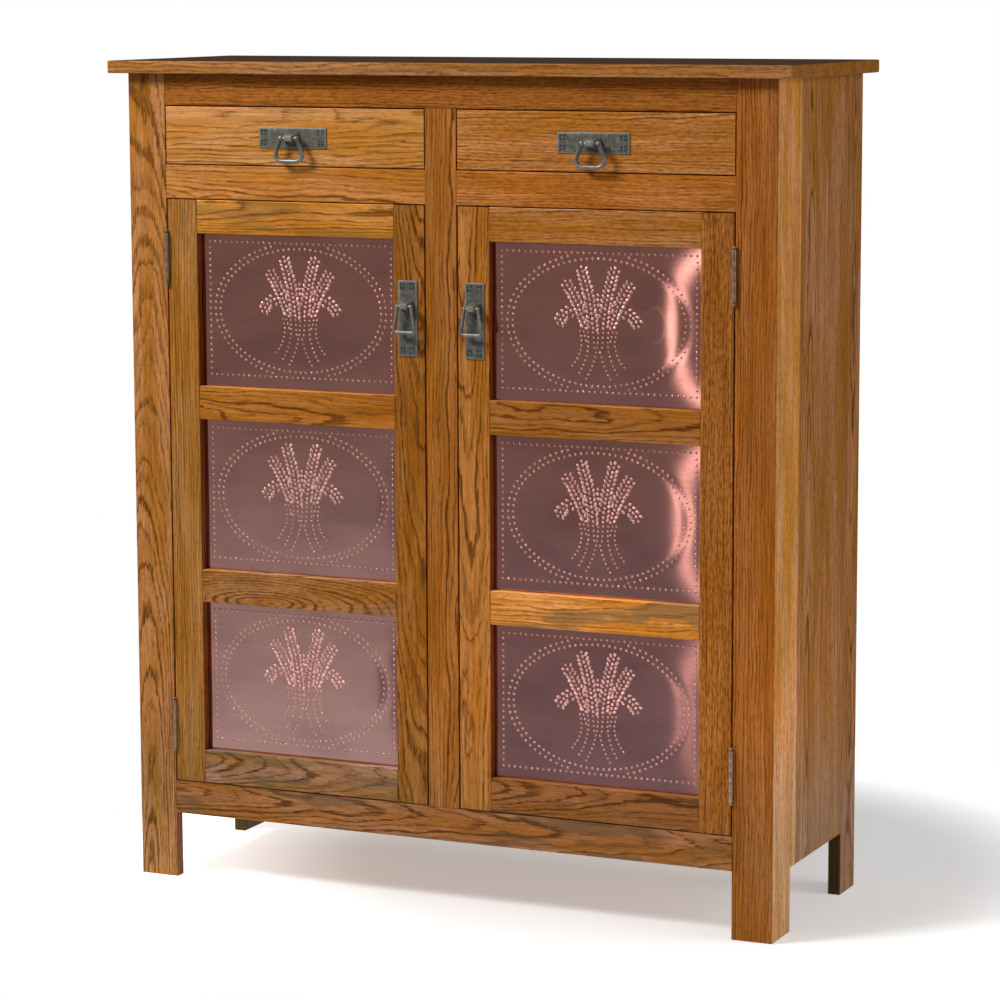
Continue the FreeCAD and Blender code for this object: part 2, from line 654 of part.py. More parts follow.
def door(name, side, screws):
    """A framed door: stiles, rails, copper panels, their stops, and the pull."""
    depth = ("face", "door_back")
    tenon_depth = ("door_tenon_front", "door_tenon_back")
    step = "(door_rail_width + light_height)"
    lows = [f"door_bottom + {index} * {step}" for index in range(PANELS_IN_A_DOOR + 1)]
    lights = [(f"{low} + door_rail_width", f"{low} + {step}") for low in lows[:-1]]
    across = mirrored(("light_inner", "light_outer"), side)
    stepped = mirrored(("light_inner - rabbet_width", "light_outer + rabbet_width"), side)
    rabbets = [box(stepped, ("panel_front", "door_back"),
                   (f"{low} - rabbet_width", f"{high} + rabbet_width")) for low, high in lights]

    rails = []
    in_hinge_stile = []
    in_pull_stile = []
    for index, low in enumerate(lows):
        edges = (low, f"{low} + door_rail_width")
        ends = rail_tenons(*across, edges, *tenon_depth)
        outer, inner = ends if side < 0 else ends[::-1]
        in_hinge_stile.append(outer)
        in_pull_stile.append(inner)
        beside = rabbets[max(index - 1, 0):index + 1]
        rails.append(cut(fuse(box(across, depth, edges), *ends), *beside))
    piece(f"{name}_door_bottom_rail", rails[0])
    piece(f"{name}_door_mid_rails", group(rails[1:-1]))
    piece(f"{name}_door_top_rail", rails[-1])

    height = ("door_bottom", "door_top")
    leaf = mirrored(("door_outer - hinge_leaf_thickness", "door_outer"), side)
    mortises = [box(leaf, ("face", "leaf_back"), span) for span in hinge_spans()]
    hinge_stile = box(mirrored(("light_outer", "door_outer"), side), depth, height)
    piece(f"{name}_door_hinge_stile", cut(hinge_stile, *rabbets, *in_hinge_stile, *mortises, group(screws)))

    x = signed("door_pull_x", side)
    fixing = bolt(x, "door_pivot_height", "door_back")
    strike = box(about(signed("strike_middle", side), "strike_width"),
                 ("door_back - strike_thickness", "door_back"), about("catch_middle", "strike_height"))
    pull_stile = box(mirrored(("door_inner", "light_inner"), side), depth, height)
    piece(f"{name}_door_pull_stile", cut(pull_stile, *rabbets, *in_pull_stile, fixing, strike))
    piece(f"{name}_door_strike", strike)
    piece(f"{name}_door_fasteners", group([*screws, fixing]))

    sheet_x = mirrored(("light_inner - rabbet_width + panel_clearance",
                        "light_outer + rabbet_width - panel_clearance"), side)
    stop_depth = ("panel_back", "door_back")
    stops = []
    for level, (low, high) in zip(("lower", "middle", "upper"), lights):
        below = f"{low} - rabbet_width"
        above = f"{high} + rabbet_width"
        copper = box(sheet_x, ("panel_front", "panel_back"),
                     (f"{below} + panel_clearance", f"{above} - panel_clearance"))
        piece(f"{name}_door_{level}_panel", copper)
        stops.append(box(stepped, stop_depth, (below, low)))
        stops.append(box(stepped, stop_depth, (high, above)))
        stops.append(box((stepped[0], across[0]), stop_depth, (low, high)))
        stops.append(box((across[1], stepped[1]), stop_depth, (low, high)))
    piece(f"{name}_door_panel_stops", group(stops))

    boss = ("door_boss_width", "door_boss_height", "door_boss_nose")
    piece(f"{name}_door_pull_plate", pull_plate(x, "door_pull_height", "plate_width", "plate_length",
                                                boss, "door_pivot_height", fixing))
    piece(f"{name}_door_bail", bail("door", x, "door_pivot_height"))


def door_catches():
    """Magnetic catches behind the centre upright, one for each door."""
    catches = [box(mirrored(("opening_inner + catch_lap - catch_reach", "opening_inner + catch_lap"), side),
                   ("frame_back", "frame_back + catch_depth"), about("catch_middle", "catch_height"))
               for name, side in SIDES]
    piece("door_catches", group(catches))


def drawer(name, side):
    """A drawer: front, sides, back with its stop block, bottom and pull."""
    x = signed("opening_middle", side)
    low, high = mirrored(("drawer_inner", "drawer_outer"), side)
    inside = (f"{low} + drawer_side_thickness", f"{high} - drawer_side_thickness")
    length = ("drawer_side_front", "drawer_end")
    height = ("drawer_side_bottom", "drawer_front_top")
    walls = [box(span, length, height) for span in ((low, inside[0]), (inside[1], high))]
    bottom = box((f"{inside[0]} - drawer_groove_depth", f"{inside[1]} + drawer_groove_depth"),
                 ("drawer_front_back - drawer_groove_depth", "drawer_end"),
                 ("drawer_bottom_low", "drawer_bottom_high"))
    back = box((f"{inside[0]} - drawer_back_housing", f"{inside[1]} + drawer_back_housing"),
               ("drawer_back_front", "drawer_end"), ("drawer_bottom_high", "drawer_front_top"))
    lug = box(about(x, "stop_lug_width"), ("drawer_back_front - stop_lug_depth", "drawer_back_front"),
              ("drawer_opening_top - stop_lug_overlap", "drawer_opening_top + stop_lug_rise"))
    fixing = bolt(x, "drawer_pull_height", "drawer_front_back")
    front = box((low, high), ("face", "drawer_front_back"), ("drawer_front_bottom", "drawer_front_top"))
    piece(f"{name}_drawer_front", cut(front, *walls, bottom, fixing))
    piece(f"{name}_drawer_box", group([cut(wall, bottom, back) for wall in walls] + [back, lug]))
    piece(f"{name}_drawer_bottom", bottom)
    boss = ("drawer_boss_width", "drawer_boss_height", "drawer_boss_nose")
    piece(f"{name}_drawer_pull_plate", pull_plate(x, "drawer_pull_height", "plate_length", "plate_width",
                                                  boss, "drawer_pull_height", fixing))
    piece(f"{name}_drawer_pull_bolt", fixing)
    piece(f"{name}_drawer_bail", bail("drawer", x, "drawer_pull_height"))


def write_pieces():
    """Checks every object and every piece, then writes one file for each piece."""
    doc.recompute()
    failed = [thing.Name for thing in doc.Objects if {"Invalid", "Error"} & set(thing.State)]
    if failed:
        raise RuntimeError(f"These objects failed: {failed}")
    for name, thing in pieces.items():
        if thing.Shape.isNull() or not thing.Shape.isValid():
            raise RuntimeError(f"The shape of {name} isn't sound")
    os.makedirs("parts", exist_ok=True)
    for name, thing in pieces.items():
        thing.Shape.exportStep(f"parts/{name}.step")
    print(len(pieces), "pieces written")


def main():
    top_board()
    carcass_boards()
    shelf_pins()
    door_catches()
    frame_tenons = face_frame()
    frame_screws, door_screws = hinges()
    side_panels_and_posts(frame_screws, frame_tenons)
    for name, side in SIDES:
        door(name, side, door_screws[name])
        drawer(name, side)
    write_pieces()


main()
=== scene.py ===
import itertools
import math
import random
from typing import NamedTuple

import bmesh
import bpy
import numpy as np
from bpy.props import FloatProperty, FloatVectorProperty, PointerProperty
from mathutils import Matrix, Vector


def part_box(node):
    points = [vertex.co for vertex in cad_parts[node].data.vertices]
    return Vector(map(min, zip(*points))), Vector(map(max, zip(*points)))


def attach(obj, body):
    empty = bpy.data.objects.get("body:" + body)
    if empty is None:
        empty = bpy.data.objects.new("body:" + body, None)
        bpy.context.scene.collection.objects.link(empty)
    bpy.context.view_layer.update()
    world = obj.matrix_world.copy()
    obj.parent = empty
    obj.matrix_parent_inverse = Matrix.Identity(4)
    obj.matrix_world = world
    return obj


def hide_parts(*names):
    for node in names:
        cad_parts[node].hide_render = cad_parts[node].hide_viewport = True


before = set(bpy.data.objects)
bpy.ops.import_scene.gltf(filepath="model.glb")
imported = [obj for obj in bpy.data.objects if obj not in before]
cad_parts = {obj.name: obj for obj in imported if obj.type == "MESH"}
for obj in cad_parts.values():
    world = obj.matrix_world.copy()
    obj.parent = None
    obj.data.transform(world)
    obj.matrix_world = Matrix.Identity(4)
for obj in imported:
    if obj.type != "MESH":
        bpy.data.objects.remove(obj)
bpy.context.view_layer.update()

bl_info = {
    "name": "Pie safe",
    "version": (1, 0, 0),
    "blender": (4, 5, 0),
    "location": "3D View > Sidebar > Pie safe",
    "description": "Builds an oak pie safe with punched copper door panels on its construction model",
    "category": "Object",
}

SIDES = {"left": -1, "right": 1}
LEVELS = ("upper", "middle", "lower")
AXES = "XYZ"

# How nearly a direction has to follow an axis: of an edge, of a face and of a face that gets painted shade
# and light
STRAIGHT = 0.99
SQUARE_ON = 0.9
TURNED_TO = 0.6

# From one board of a panel to the next along the log, and how far along it a panel may start, in metres
NEXT_BOARD = 1.7
LOG_START = 40

# Where the frame of the front lies in the construction model
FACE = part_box("top_rail")[0].y
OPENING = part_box("right_post")[0].x
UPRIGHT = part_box("center_stile")[1].x
TOP_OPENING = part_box("top_rail")[0].z
DOOR_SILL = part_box("bottom_rail")[1].z

# Joinery in metres; the joints of the top and of the boards inside are shares of their depth
TOLERANCE = 1e-6
PAST_WOOD = 0.01
HINGE_HEIGHT = 0.076
LEAF = 0.0015
SHELF_THICKNESS = 0.019
PANEL_CLEARANCE = 0.0008
STRIKE_CLEARANCE = 0.0002
DRAWER_WALL = 0.012
SIDE_JOINTS = (0.098, 0.202, 0.290)
TOP_JOINTS = (0.24, 0.51, 0.77)
INSIDE_JOINTS = (0.27, 0.52, 0.78)
ARCH_SPLIT = 0.0005
PLYWOOD_EASE = 0.0003

# Copper sheets in metres; the oval's groove is a share of the oval, its rows' pitches of the usual one
PANEL_GRID = (96, 72)
# Width of the rim along the frame, darkened with patina and painted shade
PANEL_RIM = 0.0135
ORNAMENT_SHIFT = (0.0024, 0.0029)
SWELL_PLACE = 0.095
SWELL_WIDTH = 0.030
SWELL_HEIGHT = 0.046
GROOVE_WIDTH = 0.06
OVAL_PITCHES = (1.06, 0.99)
DOME_SINK = 0.2

# How much each sheet bows and swells
PANEL_SHAPES = {
    ("left", "upper"): (0.4, 0.5), ("left", "middle"): (0.3, 0.4), ("left", "lower"): (0.5, 0.5),
    ("right", "upper"): (1.0, 0.8), ("right", "middle"): (0.80, 0.2), ("right", "lower"): (0.60, 0.15),
}

# The sheaf on one side of its middle, in millimetres: bends of the stalks, then of the ears
STALKS = (
    ((0, -15), (0, -50), (-19, -82)),
    ((-16, -14), (-12, -46), (-30, -74)),
    ((-29, -13), (-20, -40), (-41, -64)),
    ((-8, -14), (-7, -26), (-6, -36)),
    ((-23, -13), (-20, -24), (-17, -33)),
)
EARS = (
    ((-8, -11), (-11, 36), (-26, 77)),
    ((-18, -10), (-27, 22), (-50, 56)),
    ((-13, -4), (-38, 35), (-62, 0)),
    ((0, -10), (0, 6), (0, 37)),
)
STALK_DOT = 0.82
STALK_RISE = 0.8
STALK_PITCH = 0.0072
STALK_GAP = 0.0036
EAR_STEP = 0.0070
EAR_REACH = 0.0069
EAR_ROWS = (-1, 1, 0)

# The grains of an ear: sizes in metres, then how far each one may differ
GRAIN_TALL = 0.0034
GRAIN_WIDE = 0.0023
GRAIN_GAP = 0.0043
GRAIN_STRAY = (-0.0007, 0.0007)
GRAIN_LENGTHS = (0.9, 1.2)
GRAIN_WIDTHS = (0.85, 1.15)
GRAIN_TURNS = (0.5, 1.0)
GRAIN_RISES = (0.9, 1.6)
GRAIN_SHINES = (0.9, 2.0)

# Pulls and hinges: sides of round pieces, sizes in metres, tapers as shares, angles in degrees
ROUND = 20
PIN = 0.0036
PIN_GAP = 0.003
PIN_PLAY = 0.00006
PLATE_THICKNESS = 0.002
PIVOT_BEHIND = 0.0045
DIMPLE_ENDS = (-0.0477, 0.0477)
DIMPLE_ROWS = (-0.0075, 0.0075)
DIMPLE_STEP = (0.0029, 0.00235)
DIMPLE_FLOOR = 0.7
DIMPLE_ABOVE = 0.001
BOSS_SINK = 0.0005
BOSS_EASE = 0.0007
BAIL_TAPER = 0.12
HINGE_EASE = 0.00025
HINGE_WELD = 0.000002
HINGE_FLAT = 0.5
HINGE_SHARP = 50

# Stage: places in metres, turns in degrees, lens in millimetres
FLOOR_MIDDLE = (0.20, 0.22)
FLOOR_DROP = 0.0004
FLOOR_FADE = (0.45, 0.88)
FLOOR_GLOW = ((0.36, 0.36, 0.36), (1.1, 1.1, 1.1))
LOW_WALL = (0.64, 0.72, 0.86)
LEVEL_WALL = (0.62, 0.59, 0.56)
HIGH_WALL = (0.8, 0.8, 0.8)
CAMERA_PLACE = (2.2061, -4.8552, 1.3861)
CAMERA_TURN = 24.294
CAMERA_DIP = 8.395
CAMERA_ROLL = -0.187
CAMERA_LENS = 126.32
CAMERA_SENSOR = 36.0


class Pull(NamedTuple):
    """Sizes of a pull in metres: its boss at the plate and at the nose, then its bail."""

    boss: tuple
    nose: tuple
    bar: float
    top: float
    bottom: float
    drop: float
    corner: float
    boss_rise: float


PULLS = {
    "drawer": Pull((0.024, 0.017), (0.0125, 0.008), 0.0071, 0.026, 0.056, 0.0343, 0.0115, 0.0),
    "door": Pull((0.020, 0.016), (0.0105, 0.0075), 0.0056, 0.0215, 0.035, 0.0387, 0.0045, 0.019),
}


class Lamp(NamedTuple):
    """A rectangular light; it may be dimmer at its head or its foot, and fade out to its sides."""

    size: tuple
    place: tuple
    target: tuple
    tint: tuple = (1, 1, 1)
    head: float = 1.0
    foot: float = 1.0
    sides: bool = True


LAMPS = {
    "key": Lamp((1.3, 1.0), (-2.20, -2.35, 3.45), (0.0, 0.0, 0.62)),
    "fill": Lamp((1.8, 2.2), (3.5, 0.15, 1.3), (0.2, 0.05, 0.6)),
    "strip": Lamp((0.11, 1.75), (-0.632, -2.965, 0.15), (0.36, -0.16, 0.45), (1.0, 0.88, 0.84),
                  foot=0.05, sides=False),
    "card": Lamp((1.1, 1.2), (-1.60, -2.10, 0.05), (-0.25, -0.16, 0.45), (0.72, 0.98, 0.985), head=0.0),
}


class Cut(NamedTuple):
    """How a board lay in its log, and the stain that it took.

    Side and depth lead from the log's middle to the board's, in metres; drift and lean change them
    along the board. Smoke, flecks and bold say how much of each figure shows.
    """

    stain: tuple = (1.0, 1.0, 1.0)
    side: float = 0.0
    depth: float = 0.06
    lean: float = 0.03
    drift: float = 0.0
    smoke: float = 0.0
    flecks: float = 0.0
    bold: float = 0.45


CUTS = {
    "left_post": Cut((1.07, 1.14, 1.88), -0.012, 0.045, 0.075, drift=0.006, bold=0.65),
    "right_post": Cut((0.95, 0.80, 0.79), 0.070, 0.030, 0.003, drift=0.004, flecks=0.1, bold=0.35),
    "center_stile": Cut((0.90, 0.83, 0.84), 0.035, 0.03, 0.012, bold=0.6),
    "top_rail": Cut((0.84, 0.70, 0.49), 0.090, 0.040, 0.004, flecks=0.5, bold=0.35),
    "bottom_rail": Cut((0.95, 0.90, 1.49), 0.01, 0.03, 0.045, smoke=0.7, bold=0.75),
    "mid_rails_left": Cut((1.25, 1.25, 1.54), -0.03, 0.035, 0.03, bold=0.6),
    "mid_rails_right": Cut((1.20, 1.09, 1.39), 0.060, 0.030, 0.008, flecks=0.4, bold=0.40),
    "left_drawer_front": Cut((1.32, 1.51, 2.64), 0.03, 0.062, 0.022, bold=0.45),
    "right_drawer_front": Cut((1.20, 1.22, 1.83), 0.060, 0.030, 0.015, flecks=0.45, bold=0.45),
    "left_door_hinge_stile": Cut((0.94, 1.05, 1.42), 0.065, 0.025, 0.003, bold=0.55),
    "left_door_pull_stile": Cut((0.78, 0.74, 0.63), 0.02, 0.05, -0.07, bold=0.85),
    "left_door_top_rail": Cut((1.34, 1.40, 1.48), 0.020, 0.025, 0.020, smoke=0.55, bold=0.50),
    "left_door_mid_rails_upper": Cut((1.01, 0.92, 0.70), -0.02, 0.03, 0.04, smoke=0.2, bold=0.6),
    "left_door_mid_rails_lower": Cut((0.88, 0.95, 1.69), -0.02, 0.0, 0.2, smoke=0.35, bold=0.6),
    "left_door_bottom_rail": Cut((0.88, 1.05, 2.70), 0.01, 0.03, 0.09, smoke=0.6, bold=0.7),
    "right_door_pull_stile": Cut((1.08, 1.05, 1.19), -0.01, 0.035, -0.035, bold=0.6),
    "right_door_hinge_stile": Cut((0.93, 0.83, 0.73), 0.140, 0.030, 0.002, flecks=0.7, bold=0.40),
    "right_door_top_rail": Cut((1.09, 1.13, 1.73), 0.045, 0.025, 0.015, flecks=0.3, bold=0.50),
    "right_door_mid_rails_upper": Cut((0.93, 0.92, 1.23), 0.015, 0.03, 0.05, bold=0.65),
    "right_door_mid_rails_lower": Cut((1.67, 1.73, 2.39), 0.025, 0.02, 0.02, smoke=0.8, flecks=0.2,
                                      bold=0.15),
    "right_door_bottom_rail": Cut((0.78, 0.70, 0.88), 0.012, 0.03, 0.04, smoke=0.3, bold=0.7),
    "right_side 0": Cut((1.58, 1.88, 4.00), 0.060, 0.030, 0.004, flecks=0.3, bold=0.2),
    "right_side 1": Cut((0.96, 1.08, 2.31), -0.008, 0.035, 0.03, bold=0.6),
    "right_side 2": Cut((0.96, 1.08, 2.31), 0.080, 0.030, 0.004, flecks=0.3, bold=0.5),
    "right_side 3": Cut((0.86, 0.94, 1.98), 0.01, 0.03, -0.02, bold=0.5),
    "top_board 0": Cut((1.00, 1.09, 1.74), 0.030, 0.045, 0.006, flecks=0.3, bold=0.40),
    "back_panel": Cut((1.1, 1.1, 1.1), 0.03, 0.05, 0.012),
}

# Painted shade and copper-red painted reflection on right-hand edges of upright boards, painted light on
# ledges in the doors, painted shade on inner and front faces of the feet
EDGE_PAINTED_SHADE = (0.55, 0.40, 0.42)
LEDGE_PAINTED_LIGHT = (1.5, 1.9, 2.8)
FOOT_PAINTED_SHADE = (0.21, 0.28, 0.21)

# Colours and roughness of the oak inside, and the finishes of the solids that show as they are
INSIDE_OAK = ((0.50, 0.23, 0.075), (0.15, 0.052, 0.014), 0.45)
INSIDE_FINISHES = {
    "drawer_runners": "oak_along_y",
    "shelf_pins": "zinc_steel",
    "frame_hinge_screws": "bronzed_steel",
    "door_catches": "moulded_plastic",
}
FINISHES_OF_EACH_SIDE = {
    "door_panel_stops": "oak_along_x",
    "door_fasteners": "bronzed_steel",
    "door_strike": "zinc_steel",
    "drawer_box": "drawer_wood",
    "drawer_bottom": "drawer_ply",
    "drawer_pull_bolt": "zinc_steel",
}


def length(name, description, default):
    """A size that a user may change."""
    return FloatProperty(name=name, description=description, default=default, min=0.0,
                         subtype="DISTANCE", unit="LENGTH", precision=4)


def colour(name, description, default):
    """A colour that a user may change."""
    return FloatVectorProperty(name=name, description=description, default=default, min=0.0, max=1.0,
                               subtype="COLOR", size=3)


def power(name, description, default):
    """A light's strength that a user may change."""
    return FloatProperty(name=name, description=description, default=default, subtype="POWER")


class PIESAFE_PG_oak(bpy.types.PropertyGroup):
    """Colours, growth and shape of the oak boards"""

    latewood: colour("Latewood", "Dense summer growth under the stain", (0.60, 0.235, 0.046))
    amber: colour("Amber", "Growth that took the stain more golden", (0.50, 0.170, 0.013))
    earlywood: colour("Earlywood", "Open spring pores, where the stain gathers", (0.235, 0.070, 0.002))
    bold: colour("Bold earlywood", "Pores of the boards with a strong figure", (0.085, 0.027, 0.001))
    dull_foot: colour("Dull foot", "Tint of the boards near the floor", (0.68, 0.78, 1.0))
    dull_height: length("Dull height", "Height at which the tint near the floor ends", 0.36)
    smoke: colour("Mineral streaks", "Greyish patches of the wood", (0.150, 0.083, 0.020))
    ring_width: length("Ring width", "Usual width of one year's growth", 0.0042)
    long_ease: length("Long edges", "Sanded round of the edges along a board", 0.0016)
    joint_ease: length("Joint edges", "Sanded round of the ends at a joint", 0.00022)
    top_ease: length("Top edges", "Round of the edges of the top board", 0.0020)
    foot_front: length("Front foot", "Depth of the front foot of a side", 0.075)
    foot_back: length("Back foot", "Depth of the back foot of a side", 0.068)
    arch_height: length("Foot cut-out", "Height of the cut-out between the feet", 0.097)


class PIESAFE_PG_copper(bpy.types.PropertyGroup):
    """Colours, shape and ornament of the copper sheets"""

    sheet: colour("Copper", "Rubbed copper sheet", (0.78, 0.355, 0.30))
    bright: colour("Bright copper", "Raised marks, polished by rubbing", (0.72, 0.40, 0.35))
    gleam: colour("Gleaming copper", "The brightest grains of the sheaf", (1.0, 0.62, 0.55))
    tarnish: colour("Tarnish", "Where the copper has dulled", (0.44, 0.20, 0.175))
    # Patina and painted shade on the rim of the sheets along the frame
    patina_and_painted_shade: colour("Patina", "Dark rim of the sheets along the frame", (0.115, 0.060, 0.055))
    bow: length("Bow", "How far the middle of a sheet stands forward", 0.0010)
    swell: length("Swell", "How far a sheet swells at the ends of its oval", 0.00065)
    crease: length("Crease", "How far the punched oval pulls the sheet in", 0.00007)
    stud: length("Dot", "Diameter of a punched dot", 0.0041)
    stud_rise: length("Dot height", "Height of a punched dot", 0.0013)
    pitch: length("Dot spacing", "From one dot to the next", 0.0092)
    border_width: length("Border width", "Width of the dotted border", 0.3068)
    border_height: length("Border height", "Height of the dotted border", 0.2035)
    oval_width: length("Oval width", "Width of the outer dotted oval", 0.2896)
    oval_height: length("Oval height", "Height of the outer dotted oval", 0.2036)
    oval_gap: length("Oval rows", "From the outer row of the oval to the inner one", 0.0083)


class PIESAFE_PG_iron(bpy.types.PropertyGroup):
    """Colours and small forms of the pulls and hinges"""

    casting: colour("Casting", "Dark pewter of the pulls", (0.100, 0.096, 0.077))
    worn: colour("Worn casting", "Edges of the pulls, rubbed by hands", (0.29, 0.28, 0.235))
    hinge: colour("Hinges", "Bronzed steel of the hinges", (0.20, 0.120, 0.072))
    dimple_long: length("Dimple length", "Length of a dimple along a pull plate", 0.0044)
    dimple_wide: length("Dimple width", "Width of a dimple across a pull plate", 0.0034)
    dimple_depth: length("Dimple depth", "Depth of a dimple", 0.0012)
    plate_bevel: length("Plate border", "Sloped border of the back plates", 0.0010)
    knob: length("Bail ends", "How much the ends of a bail swell past the bar", 0.0004)


class PIESAFE_PG_stage(bpy.types.PropertyGroup):
    """Floor and lights"""

    floor: colour("Floor", "Pale floor", (0.90, 0.90, 0.90))
    floor_radius: length("Floor radius", "Reach of the floor round the cupboard", 0.92)
    key: power("Key light", "Soft light from the upper left", 138.0)
    fill: power("Fill light", "Soft light from the right", 40.0)
    strip: power("Strip light", "Narrow light that the copper mirrors", 1.62)
    card: power("Low card", "Dim card by the floor that the left door mirrors", 1.75)
    room: FloatProperty(name="Room light", description="Even light of the room", default=0.33, min=0.0)


def settings(name):
    """The values of one group, such as oak."""
    return getattr(bpy.context.scene, f"pie_safe_{name}")


# Selecting and shaping


def choose(*pieces):
    """Leaves only these pieces selected, the first one active."""
    bpy.ops.object.select_all(action="DESELECT")
    for piece in pieces:
        piece.select_set(True)
    bpy.context.view_layer.objects.active = pieces[0]


def settle(piece):
    """Moves a piece's place, turn and scale into its mesh."""
    choose(piece)
    bpy.ops.object.transform_apply(location=True, rotation=True, scale=True)
    return piece


def placed(name, data):
    """A new object in the scene, round data that is already made."""
    holder = bpy.data.objects.new(name, data)
    bpy.context.scene.collection.objects.link(holder)
    return holder


def newest(name):
    """Names the object that an operator has just added, with its place in its mesh."""
    piece = bpy.context.object
    piece.name = name
    piece.data.name = name
    return settle(piece)


def pick(piece, kind, test=lambda part: True):
    """Opens a piece in edit mode with only the parts selected that pass a test."""
    choose(piece)
    bpy.ops.object.mode_set(mode="EDIT")
    bpy.ops.mesh.select_mode(type=kind)
    bpy.ops.mesh.select_all(action="DESELECT")
    shape = bmesh.from_edit_mesh(piece.data)
    parts = {"VERT": shape.verts, "EDGE": shape.edges, "FACE": shape.faces}[kind]
    for part in parts:
        if test(part):
            part.select_set(True)
    shape.select_flush_mode()
    bmesh.update_edit_mesh(piece.data)


def done():
    """Leaves edit mode."""
    bpy.ops.object.mode_set(mode="OBJECT")


def join(name, pieces):
    """Makes one piece of several."""
    choose(*pieces)
    if len(pieces) > 1:
        bpy.ops.object.join()
    pieces[0].name = name
    pieces[0].data.name = name
    return pieces[0]


def block(name, low, high):
    """A box between two corners."""
    low, high = Vector(low), Vector(high)
    bpy.ops.mesh.primitive_cube_add(size=1, location=(low + high) / 2, scale=high - low)
    return newest(name)


def alter(piece, kind, **values):
    """Gives a piece a modifier with these values and applies it."""
    choose(piece)
    change = piece.modifiers.new(kind.capitalize(), kind)
    for key, value in values.items():
        setattr(change, key, value)
    bpy.ops.object.modifier_apply(modifier=change.name)


def combine(piece, operation, other):
    """Cuts another shape out of a piece, or adds it to the piece."""
    alter(piece, "BOOLEAN", operation=operation, solver="EXACT", object=other)
    bpy.data.objects.remove(other)


def saw(piece, point, normal):
    """Saws a piece along a plane and takes off what the normal points to."""
    pick(piece, "FACE")
    bpy.ops.mesh.bisect(plane_co=point, plane_no=normal, use_fill=True, clear_outer=True)
    done()


def ease_edges(piece, test, offset, segments=2):
    """Rounds the edges of a piece that pass a test."""
    pick(piece, "EDGE", test)
    bpy.ops.mesh.bevel(offset=offset, segments=segments)
    done()


def narrow(piece, test, wide, tall, middle):
    """Makes the faces of a piece that pass a test narrower in X and Z, towards a middle."""
    pick(piece, "FACE", test)
    bpy.ops.transform.resize(value=(wide, 1, tall), center_override=middle)
    done()


def smooth(piece, degrees):
    """Shades a piece smooth, but not over edges sharper than this."""
    choose(piece)
    bpy.ops.object.shade_smooth_by_angle(angle=math.radians(degrees))


def runs(edge, axis):
    """Whether an edge runs along an axis."""
    way = edge.verts[1].co - edge.verts[0].co
    return abs(way[axis]) > STRAIGHT * way.length


def at(edge, axis, place):
    """Whether both ends of an edge lie at one place on an axis."""
    return all(abs(vertex.co[axis] - place) < TOLERANCE for vertex in edge.verts)


def board(name, low, high, along, cuts=(), ease=None):
    """A board between two corners: its long edges sanded round, its ends only broken, then its cuts."""
    oak = settings("oak")
    axis = AXES.index(along)
    piece = block(name, low, high)
    ease_edges(piece, lambda edge: runs(edge, axis), ease or oak.long_ease, 3)
    ease_edges(piece, lambda edge: any(at(edge, axis, end[axis]) for end in (low, high)),
               ease or oak.joint_ease)
    for corners in cuts:
        combine(piece, "DIFFERENCE", block("cut", *corners))
    return piece


# Wood grain


def cut_of(name, number=0):
    """A board's own cut, or one drawn from its name."""
    for key in (f"{name} {number}", name):
        if key in CUTS:
            return CUTS[key]
    chance = random.Random(f"{name} {number}")
    if chance.random() < 0.6:
        return Cut(side=chance.uniform(-0.015, 0.015), depth=chance.uniform(0.015, 0.05),
                   lean=chance.choice((-1, 1)) * chance.uniform(0.012, 0.035),
                   drift=chance.uniform(-0.012, 0.012))
    return Cut(side=chance.choice((-1, 1)) * chance.uniform(0.05, 0.13), depth=chance.uniform(0.02, 0.06),
               lean=chance.uniform(-0.012, 0.012), drift=chance.uniform(-0.01, 0.01))


def vectors(parts, key):
    """A vector of every vertex or face of a mesh, such as its place."""
    values = np.empty(3 * len(parts), np.float32)
    parts.foreach_get(key, values)
    return values.reshape(-1, 3)


def numbers(parts, key):
    """A whole number of every corner or face of a mesh."""
    values = np.empty(len(parts), np.int32)
    parts.foreach_get(key, values)
    return values


def lay_grain(piece, axes, cuts, joints=(), painted_shade_and_light=()):
    """Writes each face corner's place in its log, its stain with painted shade and painted light on faces
    turned some ways, and its figure on a board, or on glued boards.
    """
    along, across, deep = (AXES.index(axis) for axis in axes)
    mesh = piece.data
    points = vectors(mesh.vertices, "co")
    place = points[numbers(mesh.loops, "vertex_index")]
    sizes = numbers(mesh.polygons, "loop_total")
    middles = np.repeat(vectors(mesh.polygons, "center"), sizes, axis=0)
    facing = np.repeat(vectors(mesh.polygons, "normal"), sizes, axis=0)
    strip = np.searchsorted(joints, middles[:, across])
    low, high = points.min(0), points.max(0)
    edges = np.array([low[across], *joints, high[across]])
    centre = ((edges[:-1] + edges[1:]) / 2)[strip]
    side, depth, lean, drift = (np.array([getattr(cut, key) for cut in cuts])[strip]
                                for key in ("side", "depth", "lean", "drift"))
    run = place[:, along] - (low[along] + high[along]) / 2
    log = np.stack([
        run + NEXT_BOARD * strip + random.Random(piece.name).uniform(0, LOG_START),
        place[:, across] - centre - side - drift * run,
        place[:, deep] - (low[deep] + high[deep]) / 2 - depth - lean * run,
    ], axis=1).astype(np.float32)
    stain = np.array([(*cut.stain, 1.0) for cut in cuts], np.float32)[strip]
    # Faces turned one way, below a height, get painted shade and painted light
    for way, tint, below in painted_shade_and_light:
        stain[(facing @ np.array(way) > TURNED_TO) & (middles[:, 2] < below), :3] *= tint
    figure = np.array([(cut.smoke, cut.flecks, cut.bold) for cut in cuts], np.float32)[strip]
    mesh.attributes.new("grain", "FLOAT_VECTOR", "CORNER").data.foreach_set("vector", log.ravel())
    mesh.attributes.new("stain", "FLOAT_COLOR", "CORNER").data.foreach_set("color", stain.ravel())
    mesh.attributes.new("figure", "FLOAT_VECTOR", "CORNER").data.foreach_set("vector", figure.ravel())


